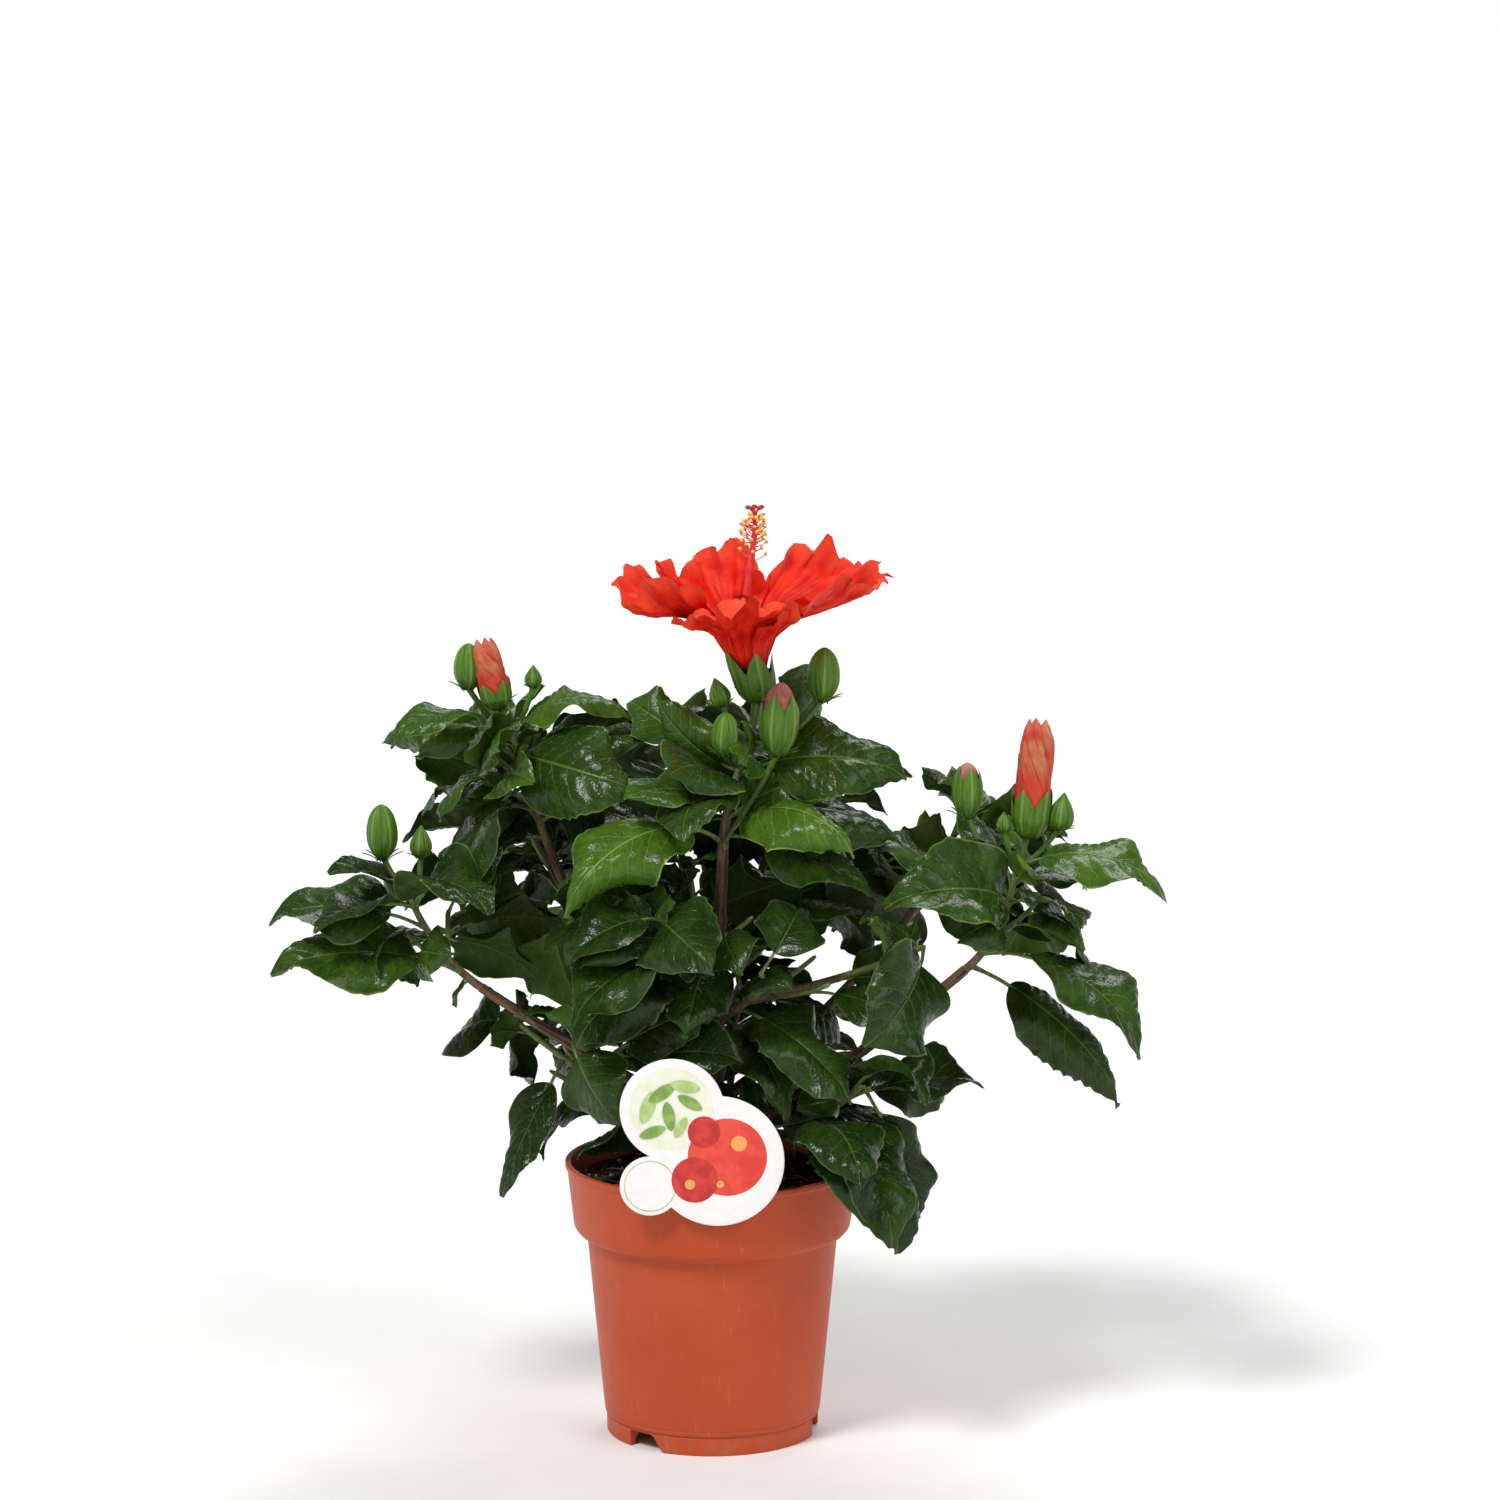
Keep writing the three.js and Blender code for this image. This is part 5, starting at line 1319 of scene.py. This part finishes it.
def petal_skin(index):
    """One broad petal: folds that fan out, a wavy scalloped rim and edges that roll under."""
    turn, reach = PETALS[index][:2]
    u, v = sheet_grid(PETAL_ROWS, PETAL_COLUMNS)

    def wave(count, phase, size=1.0):
        return size * np.sin(count * v + phase * turn)

    edge = smooth(u, 0.45, 1)
    scallop = wave(9, 1, 0.022) + wave(19, 2, 0.018) + wave(41, 1, 0.010)
    along = u * (1.02 - 0.22 * np.abs(v) ** 2.5 + scallop * edge)
    radius, height = trumpet(TRUMPET, along, reach, RIM_PLANE)
    height = height + LIFTS[index] * u**3 + 3.4 * v * u + wave(27, 1, 1.3) * smooth(u, 0.75, 1)
    if index == PEAK_PETAL:
        height = height + PEAK_RISE * bell(v, PEAK_AT, 0.055) * smooth(u, 0.8, 1) ** 2
    headings = turn + (51 - 3 * u) * v
    for at, width, depth in RIM_DIPS:
        height = height - depth * bell(headings, at, width) * edge
    middle = polar(radius, np.radians(headings), height)
    folds = wave(13, 1, 0.9) * smooth(u, 0.12, 0.5) + wave(27, 2, 0.5) * smooth(u, 0.3, 0.7)
    ruffle = edge * (wave(5.6, 1, 3.0) + 1.5 * np.sin(12.5 * v + 2 * turn + 2 * u))
    crinkle = 1.2 * edge * noise(middle, 8, turn) + 0.4 * noise(middle, 3, 2) * smooth(u, 0.3, 1)
    groove = bell(v, 0, 0.07) * smooth(u, 0, 0.2) * (1 - 0.6 * u)
    roll = 4.0 * smooth(u, 0.84, 1.04) + 2.4 * smooth(np.abs(v), 0.86, 1.04) * smooth(u, 0.3, 0.7)
    relief = folds + ruffle + crinkle - groove - roll
    thick = 0.3 * (1 - np.abs(v) ** 8) * (1 - u**12) + 0.03
    sides = [middle + grid_normals(middle) * (relief + away)[..., None] for away in (thick, -thick)]
    return closed_sheet(*sides, u, (v + 1) / 2, turn / 360)


def lean(shape):
    """The flower's foot and throat lean a little to the left under a level rim."""
    points, faces, place = shape
    x, y, z = points.T
    shift = THROAT_LEAN * smooth(z, 0, 30) * (1 - smooth(np.hypot(x, y), 20, 48))
    return points - shift[:, None] * vec(1, 0, 0), faces, place


def blob(size, rows=7, sides=10):
    """A small round closed shape about its own middle, of a size along each axis."""
    t = np.linspace(0.12, math.pi - 0.12, rows)
    points, faces, place = turned(np.stack([np.sin(t), -np.cos(t)], 1), full_turn(sides))
    return points * size, faces, place


def moved(shape, shift):
    return shape[0] + shift, *shape[1:]


def make_calyx(green, lobe_green):
    piece = Piece("bloom_calyx", "bloom", green, lobe_green)
    piece.add(lean(sepal_cup(BLOOM_CUP, CUP_LENGTH, CALYX_RADIUS, 0.5, 1.0, CUP_TURN)), 0, *BLOOM_SPOT)
    for k in range(CALYX_LOBES):
        piece.add(lobe(0.1 + k * TURN / CALYX_LOBES, 0, 7, 1.6, 6.5, 3.4), 1, *BLOOM_SPOT)
    point, forward = end_of(SHOOTS[0].stem)
    line = stem_line(limb(point - forward, point + forward * 8, BLOOM_BASE + BLOOM_AXIS * 2), 1.5)
    piece.add(sweep(line, np.linspace(1.3, 2.1, len(line)), 12), 1)
    piece.make("bloom")


def make_column(*materials):
    piece = Piece("bloom_column", "bloom", *materials)
    heights = np.linspace(CALYX_LENGTH * 0.6, COLUMN_HEIGHT * 0.955, 40)
    sway = 2.2 * smooth(heights, 30, 90)
    foot_lean = THROAT_LEAN * smooth(heights, 0, 30) * smooth(heights, 82, 34)
    line = np.stack([sway * 0.4 - foot_lean, -0.3 * sway, heights], 1)
    piece.add(sweep(line, np.interp(heights, [12, 30, 60, 84], [2.3, 1.9, 1.45, 0.9]), 16), 0, *BLOOM_SPOT)
    grains = np.random.default_rng(7)
    for k in range(STAMENS):
        share = (k / STAMENS) ** 0.55
        height = COLUMN_HEIGHT * (0.72 + 0.22 * share + grains.uniform(-0.008, 0.008))
        foot = vec(*[np.interp(height, heights, side) for side in line.T])
        reach = grains.uniform(4.2, 6.6) - 2.2 * smooth(share, 0.7, 1)
        tip = foot + polar(reach, k * GOLDEN, grains.uniform(1.2, 3.4))
        hair = limb(foot, foot + (tip - foot) * (0.65, 0.65, 0.1), tip)
        piece.add(sweep(stem_line(hair, 1.3), 0.22, 5), 0, *BLOOM_SPOT)
        piece.add(moved(blob(0.8 * grains.uniform(0.7, 1.25, 3)), tip), 1, *BLOOM_SPOT)
    head = line[-1]
    for k in range(STIGMAS):
        turn = 0.4 + k * TURN / STIGMAS
        arm = limb(head - UP, head + polar(1, turn, 2.4), head + polar(3, turn, 3.2))
        piece.add(sweep(stem_line(arm, 0.8), 0.45, 7), 0, *BLOOM_SPOT)
        piece.add(moved(blob(vec(1.35, 1.35, 1.35 * 0.7)), arm.tip), 2, *BLOOM_SPOT)
    piece.make("bloom")


def make_petals(material):
    piece = Piece("bloom_petals", "bloom", material)
    for index in range(len(PETALS)):
        piece.add(lean(petal_skin(index)), 0, *BLOOM_SPOT)
    piece.make("bloom")


# Pot, soil and label
NOTCHES = 3
NOTCH_SLANT = 7
SKIRT_ROOF = SKIRT_HEIGHT - 1.2


def notch_lift(turn):
    """How far the foot is cut away at a heading: flat on top, with one slanting side."""
    lift = 0
    for k in range(NOTCHES):
        away = ((turn - NOTCH_HEADING - k * TURN / NOTCHES + math.pi) % TURN - math.pi) * BASE_RADIUS
        slant = smooth(away, NOTCH_WIDTH / 2, NOTCH_WIDTH / 2 - NOTCH_SLANT)
        lift = np.maximum(lift, np.where(np.abs(away) <= NOTCH_WIDTH / 2, (SKIRT_HEIGHT - 1.6) * slant, 0))
    return lift


def pot_turns():
    """Headings all round, with more of them where a notch begins and along its slant."""
    turns = [*full_turn(144)]
    half = NOTCH_WIDTH / 2 / BASE_RADIUS
    for k in range(NOTCHES):
        middle = NOTCH_HEADING + k * TURN / NOTCHES
        turns += [middle - half - 0.002, middle - half + 0.002]
        turns += [*(middle + half - np.linspace(0, NOTCH_SLANT, 7) / BASE_RADIUS)]
    return np.unique(np.round(np.mod(turns, TURN), 5))


def make_pot(material):
    skirt = BASE_RADIUS
    corners = [
        (CENTRE_FOOT, 0), (CENTRE_FOOT + 5, SKIRT_HEIGHT - 1), (skirt - 6, SKIRT_HEIGHT - 1),
        (skirt - 2.2, 0.6), (skirt - 1.6, 0), (skirt, 0), (skirt + 0.15, 7.6), (skirt - 0.25, 8.0),
        (skirt - 0.25, 8.5), (skirt + 0.75, 8.9), (skirt + 0.95, 10.6), (skirt + 0.75, 10.8),
        (skirt + 1.1, 11.2), (BODY_RADIUS, BAND_FOOT - 1), (BODY_RADIUS + 0.4, BAND_FOOT),
        (BAND_RADIUS - 2.4, BAND_FOOT + 0.6), (BAND_RADIUS - 0.5, BAND_FOOT + 3),
        (BAND_RADIUS, BAND_FOOT + 6), (RIM_RADIUS - 0.9, POT_HEIGHT - 3.2), (RIM_RADIUS, POT_HEIGHT - 2.4),
        (RIM_RADIUS, POT_HEIGHT), (RIM_RADIUS - POT_WALL - 1, POT_HEIGHT),
        (BAND_RADIUS - POT_WALL, BAND_FOOT + 6), (BODY_RADIUS - POT_WALL, BAND_FOOT),
        (skirt + 0.9 - POT_WALL, SKIRT_HEIGHT + POT_WALL), (CENTRE_FOOT + 4, SKIRT_HEIGHT + 0.5),
        (CENTRE_FOOT - 1, POT_WALL),
    ]
    points, faces, place = turned(rounded(corners, 0.7), pot_turns())
    x, y, z = points.T
    lift = notch_lift(np.mod(np.arctan2(y, x), TURN))
    foot = (np.hypot(x, y) > skirt - 5.5) & (z < SKIRT_ROOF)
    points[:, 2] = np.where(foot, lift + z * (SKIRT_ROOF - lift) / SKIRT_ROOF, z)
    piece = Piece("pot_shell", "pot", material)
    piece.add((points, faces, place))
    piece.make("pot")


SOIL_FOOT = 99
SOIL_SHOULDER = 106
SOIL_RINGS = 52
SOIL_SIDES = 168
LUMPS = 620
FIBRES = 70
# Every so many lumps, one is a pale speck
SPECK_STEP = 17


def make_soil(*materials):
    piece = Piece("soil_surface", "soil", *materials)
    slope = (RIM_RADIUS - 1 - BAND_RADIUS) / (POT_HEIGHT - BAND_FOOT - 6)
    edge = BAND_RADIUS - POT_WALL - 0.5 + slope * (SOIL_HEIGHT - BAND_FOOT - 6)
    profile = [(8, SOIL_FOOT), (edge - 1.4, SOIL_FOOT), (edge - 0.8, SOIL_SHOULDER)]
    profile += [(edge * share, SOIL_HEIGHT) for share in np.linspace(1, 0.02, SOIL_RINGS)]
    points, faces, place = turned(profile, full_turn(SOIL_SIDES))
    top = points[:, 2] > SOIL_SHOULDER
    flat = points[top]
    points[top, 2] += 1.0 * noise(flat, 13, 1) + 0.8 * noise(flat, 5, 2) + 0.45 * noise(flat, 2.2, 3) - 0.4
    piece.add((points, faces, place))
    spread = np.random.default_rng(11)
    ball, faces, place = blob(1.0, 5, 7)
    for k in range(LUMPS):
        far = edge * math.sqrt(spread.uniform(0.01, 0.97))
        turn = spread.uniform(0, TURN)
        size = spread.uniform(0.6, 1.9)
        squash = spread.uniform(0.6, 1.3, 3) * size
        lump = ball * squash * (1 + 0.25 * noise(ball * 3 + k, 1.1, 4))[:, None]
        spot = polar(far, turn, SOIL_HEIGHT + 0.3 * size - 0.2)
        piece.add((lump, faces, place), 0 if k % SPECK_STEP else 2, spot)
    for k in range(FIBRES):
        far = (edge - 6) * math.sqrt(spread.uniform(0, 1))
        turn, way = spread.uniform(0, TURN, 2)
        length = spread.uniform(5, 15)
        start = polar(far, turn, SOIL_HEIGHT + 0.6)
        tip = start + polar(length, way, spread.uniform(-0.5, 1.8))
        bend = (start + tip) / 2 + vec(*spread.uniform(-2.5, 2.5, 2), 1.5)
        tip[:2] *= min(1, (edge - 2) / np.hypot(tip[0], tip[1]))
        line = stem_point(limb(start, bend, tip), np.linspace(0, 1, 7))
        piece.add(sweep(line, [0.18, 0.3, 0.34, 0.34, 0.3, 0.24, 0.12], 5), 1)
    piece.make("soil")


CARD_THICK = 0.8
CARD_FRONT = -(RIM_RADIUS + CLEAR) - 0.6 - CARD_THICK
DISCS = [(3, 137.2, 28.5), (-16.7, 159.6, 22.4), (-26.2, 126.2, 13)]
CARD_HEART = np.array([-22.5, 138.4])
TONGUE_X = 3
TONGUE_WIDTH = 12
TONGUE_THICK = 0.35
PRINT_THICK = 0.06
PRINT_SIDES = 64
LEAF_SQUASH = 0.4
CARD_SIDES = 300
# Rings of a plate's front from its middle to its rim, as shares of the outline and depths behind the front
PLATE_RINGS = [(0.35, 0), (0.7, 0), (0.97, 0), (0.994, 0.08), (1, 0.25)]
# The label's print, as (x, z, radius, material) and for leaves also a tilt
CARD, RED, GRASS, PALE, ORANGE, LEAF, DARK = range(7)
PRINT_DISCS = [
    (-17, 160, 18, PALE), (-26.2, 126.2, 11.2, GRASS), (-26.2, 126.2, 10.7, CARD), (7, 139, 17, RED),
    (-7, 129, 10, DARK), (-3, 150, 7, DARK), (12, 145, 3.4, ORANGE), (-9, 127, 2.2, ORANGE),
    (4, 127, 1.6, ORANGE),
]
PRINT_LEAVES = [
    (-27, 161, 7.5, GRASS, 70), (-21, 167, 7, LEAF, 35), (-11, 170, 6.5, GRASS, -10),
    (-18, 157, 6.5, LEAF, 100), (-9, 163, 6, LEAF, 150), (-25, 150, 6, LEAF, 20), (-13, 152, 5, GRASS, 60),
]


def card_reach(ways):
    """Distance from the card's heart, which lies in all three discs, to its outline."""
    reach = 0
    for *middle, radius in DISCS:
        away = CARD_HEART - middle
        along = ways @ away
        reach = np.maximum(reach, -along + np.sqrt(along**2 - away @ away + radius**2))
    return reach


def ways_round(count):
    return polar(1, full_turn(count), 0)[:, :2]


def flat_plate(outline, centre, front, thick, depth=1.0):
    """A thin upright plate with a slightly rounded rim, from an outline of [x, z] round a centre."""
    rings = [(share, front + step * depth) for share, step in PLATE_RINGS]
    rings += [(share, front + thick - step * depth) for share, step in reversed(PLATE_RINGS)]
    points = [np.insert(centre + (outline - centre) * share, 1, y, axis=1) for share, y in rings]
    middles = [(centre[0], y, centre[1]) for y in (front, front + thick)]
    return np.concatenate([*points, middles]), tube_faces(len(rings), len(outline)), UP * 0


def make_tag(*materials):
    piece = Piece("tag_card", "tag", *materials)
    ways = ways_round(CARD_SIDES)
    piece.add(flat_plate(CARD_HEART + card_reach(ways)[:, None] * ways, CARD_HEART, CARD_FRONT, CARD_THICK))

    def add_print(x, z, outline, kind, lift):
        """Puts one flat shape of print before the card."""
        front = CARD_FRONT - lift
        piece.add(flat_plate(outline + (x, z), (x, z), front, PRINT_THICK, PRINT_THICK), kind)

    ways = ways_round(PRINT_SIDES)
    for k, (x, z, size, kind) in enumerate(PRINT_DISCS):
        add_print(x, z, size * ways, kind, 0.08 + 0.015 * k)
    pointed = np.stack([ways[:, 0], LEAF_SQUASH * ways[:, 1] * np.abs(ways[:, 1]) ** 0.35], 1)
    for k, (x, z, size, kind, tilt) in enumerate(PRINT_LEAVES):
        side = polar(1, math.radians(tilt), 0)[:2]
        add_print(x, z, size * pointed @ [side, (-side[1], side[0])], kind, 0.4 + 0.01 * k)

    inner = -(RIM_RADIUS - POT_WALL - 1 - CLEAR)
    top = POT_HEIGHT + 2
    outer = CARD_FRONT + 0.4
    corners = [(outer, top - 12), (outer, top), (inner + 1.2, top), (inner + 3.2, SOIL_HEIGHT + 1)]
    line = rounded(corners, 1.6, 6)
    across = np.linspace(-TONGUE_WIDTH / 2, TONGUE_WIDTH / 2, 7)
    grid = np.stack([np.insert(line, 0, TONGUE_X + x, axis=1) for x in across], 1)
    skin = grid_normals(grid) * TONGUE_THICK
    piece.add(closed_sheet(grid + skin, grid - skin))
    piece.make("tag")


# Stage, light and camera, in metres
FLOOR_HALF = 30


def look_along(obj, way):
    obj.rotation_euler = Vector(way).to_track_quat("-Z", "Y").to_euler()


def make_stage():
    floor = bpy.data.meshes.new("floor")
    corners = [(x * FLOOR_HALF, y * FLOOR_HALF, 0) for x, y in ((-1, -1), (1, -1), (1, 1), (-1, 1))]
    floor.from_pydata(corners, [], [(0, 1, 2, 3)])
    paper = plain_material("floor_paper", (0.86, 0.86, 0.855), (0.88, 0.88, 0.875), 60, 0.8, 0.05)
    floor.materials.append(paper)
    add_object("floor", floor)


def add_sun(name, towards, spread, power):
    """Soft light from a wide patch of the sky: spread is the patch's width in degrees."""
    light = bpy.data.lights.new(name, "SUN")
    light.angle = math.radians(spread)
    light.energy = power
    look_along(add_object(name, light), -Vector(towards))


def make_world():
    """A dim studio with a white band along the horizon, which is the backdrop from every side."""
    world = bpy.data.worlds.new("studio")
    bpy.context.scene.world = world
    world.use_nodes = True
    n = Nodes(world.node_tree)
    level = n.math("ABSOLUTE", n.parts(n.node("TexCoord", {}).outputs["Generated"])[2])
    background = world.node_tree.nodes["Background"].inputs
    n.put(background["Strength"], n.ease(level, 0.14, 0.3, 1.0, 0.26))
    n.put(background["Color"], (1, 1, 1, 1))


def make_light():
    make_world()
    add_sun("key", (-0.55, -0.65, 1.15), 15, 1.95)
    add_sun("fill", (0.85, -0.7, 0.95), 34, 0.9)
    add_sun("top", (0.2, 0.75, 1.2), 26, 1.2)
    bpy.context.scene.view_settings.view_transform = "Standard"


def make_camera():
    camera = bpy.data.cameras.new("camera")
    camera.sensor_width = CAMERA_SENSOR
    camera.lens = CAMERA_LENS
    obj = add_object("camera", camera)
    obj.location = CAMERA_PLACE * MM
    look_along(obj, CAMERA_AIM - CAMERA_PLACE)
    bpy.context.scene.camera = obj


grow_plant()
grow_finer()
leaf_materials = make_leaf_materials()
stem_skin = skin_material("stem_skin", (0.17, 0.115, 0.065), (0.15, 0.22, 0.06))
bud_green = green_material("bud_green", (0.040, 0.105, 0.007), (0.095, 0.205, 0.018), (0.25, 0.37, 0.09))
bract_green = green_material("bract_green", (0.035, 0.10, 0.012), (0.10, 0.21, 0.03), (0.20, 0.32, 0.09), 1)
bud_materials = [
    skin_material("bud_stalk", (0.08, 0.14, 0.03), (0.10, 0.20, 0.03)),
    bud_green,
    petal_material("bud_tip", (0.34, 0.10, 0.08), (0.46, 0.20, 0.14), (0.50, 0.30, 0.22),
                   (0.26, 0.07, 0.06), 0.4),
    petal_material("spent_petal", (0.55, 0.034, 0.024), (0.50, 0.155, 0.065), (0.56, 0.24, 0.16),
                   (0.34, 0.018, 0.014), 0.5),
    bract_green,
]
for part in SHOOTS:
    make_foliage(part, leaf_materials)
    make_twigs(part, stem_skin)
    make_buds(part, bud_materials)
make_bark(bark_material())
make_petals(petal_material(
    "petal_red", (0.60, 0.006, 0.003), (0.82, 0.028, 0.006), (0.86, 0.11, 0.05), (0.40, 0.003, 0.002)))
make_calyx(bud_green, bract_green)
make_column(
    plain_material("column_pink", (0.70, 0.03, 0.045), (0.78, 0.07, 0.07), 3, 0.45, 0.1),
    plain_material("anther_yellow", (0.86, 0.38, 0.03), (0.92, 0.66, 0.20), 0.6, 0.7, 0.25),
    plain_material("stigma_red", (0.32, 0.008, 0.01), (0.5, 0.02, 0.02), 0.5, 0.6, 0.25),
)
make_pot(pot_material())
make_soil(
    peat_material(),
    plain_material("peat_fibre", (0.20, 0.12, 0.06), (0.34, 0.22, 0.12), 2, 0.8, 0.1),
    plain_material("peat_speck", (0.45, 0.40, 0.32), (0.6, 0.56, 0.48), 0.8, 0.85, 0.2),
)
make_tag(
    plain_material("card_white", (0.82, 0.80, 0.78), (0.85, 0.83, 0.82), 4, 0.42, 0.03),
    plain_material("print_red", (0.66, 0.030, 0.018), (0.76, 0.065, 0.035), 9),
    plain_material("print_green", (0.36, 0.50, 0.16), (0.48, 0.60, 0.26), 5),
    plain_material("print_pale", (0.72, 0.76, 0.54), (0.82, 0.82, 0.72), 7),
    plain_material("print_orange", (0.80, 0.28, 0.06), (0.85, 0.40, 0.10), 1),
    plain_material("print_leaf", (0.16, 0.30, 0.05), (0.28, 0.42, 0.10), 3),
    plain_material("print_dark_red", (0.46, 0.012, 0.012), (0.62, 0.035, 0.025), 6),
)
make_stage()
make_light()
make_camera()
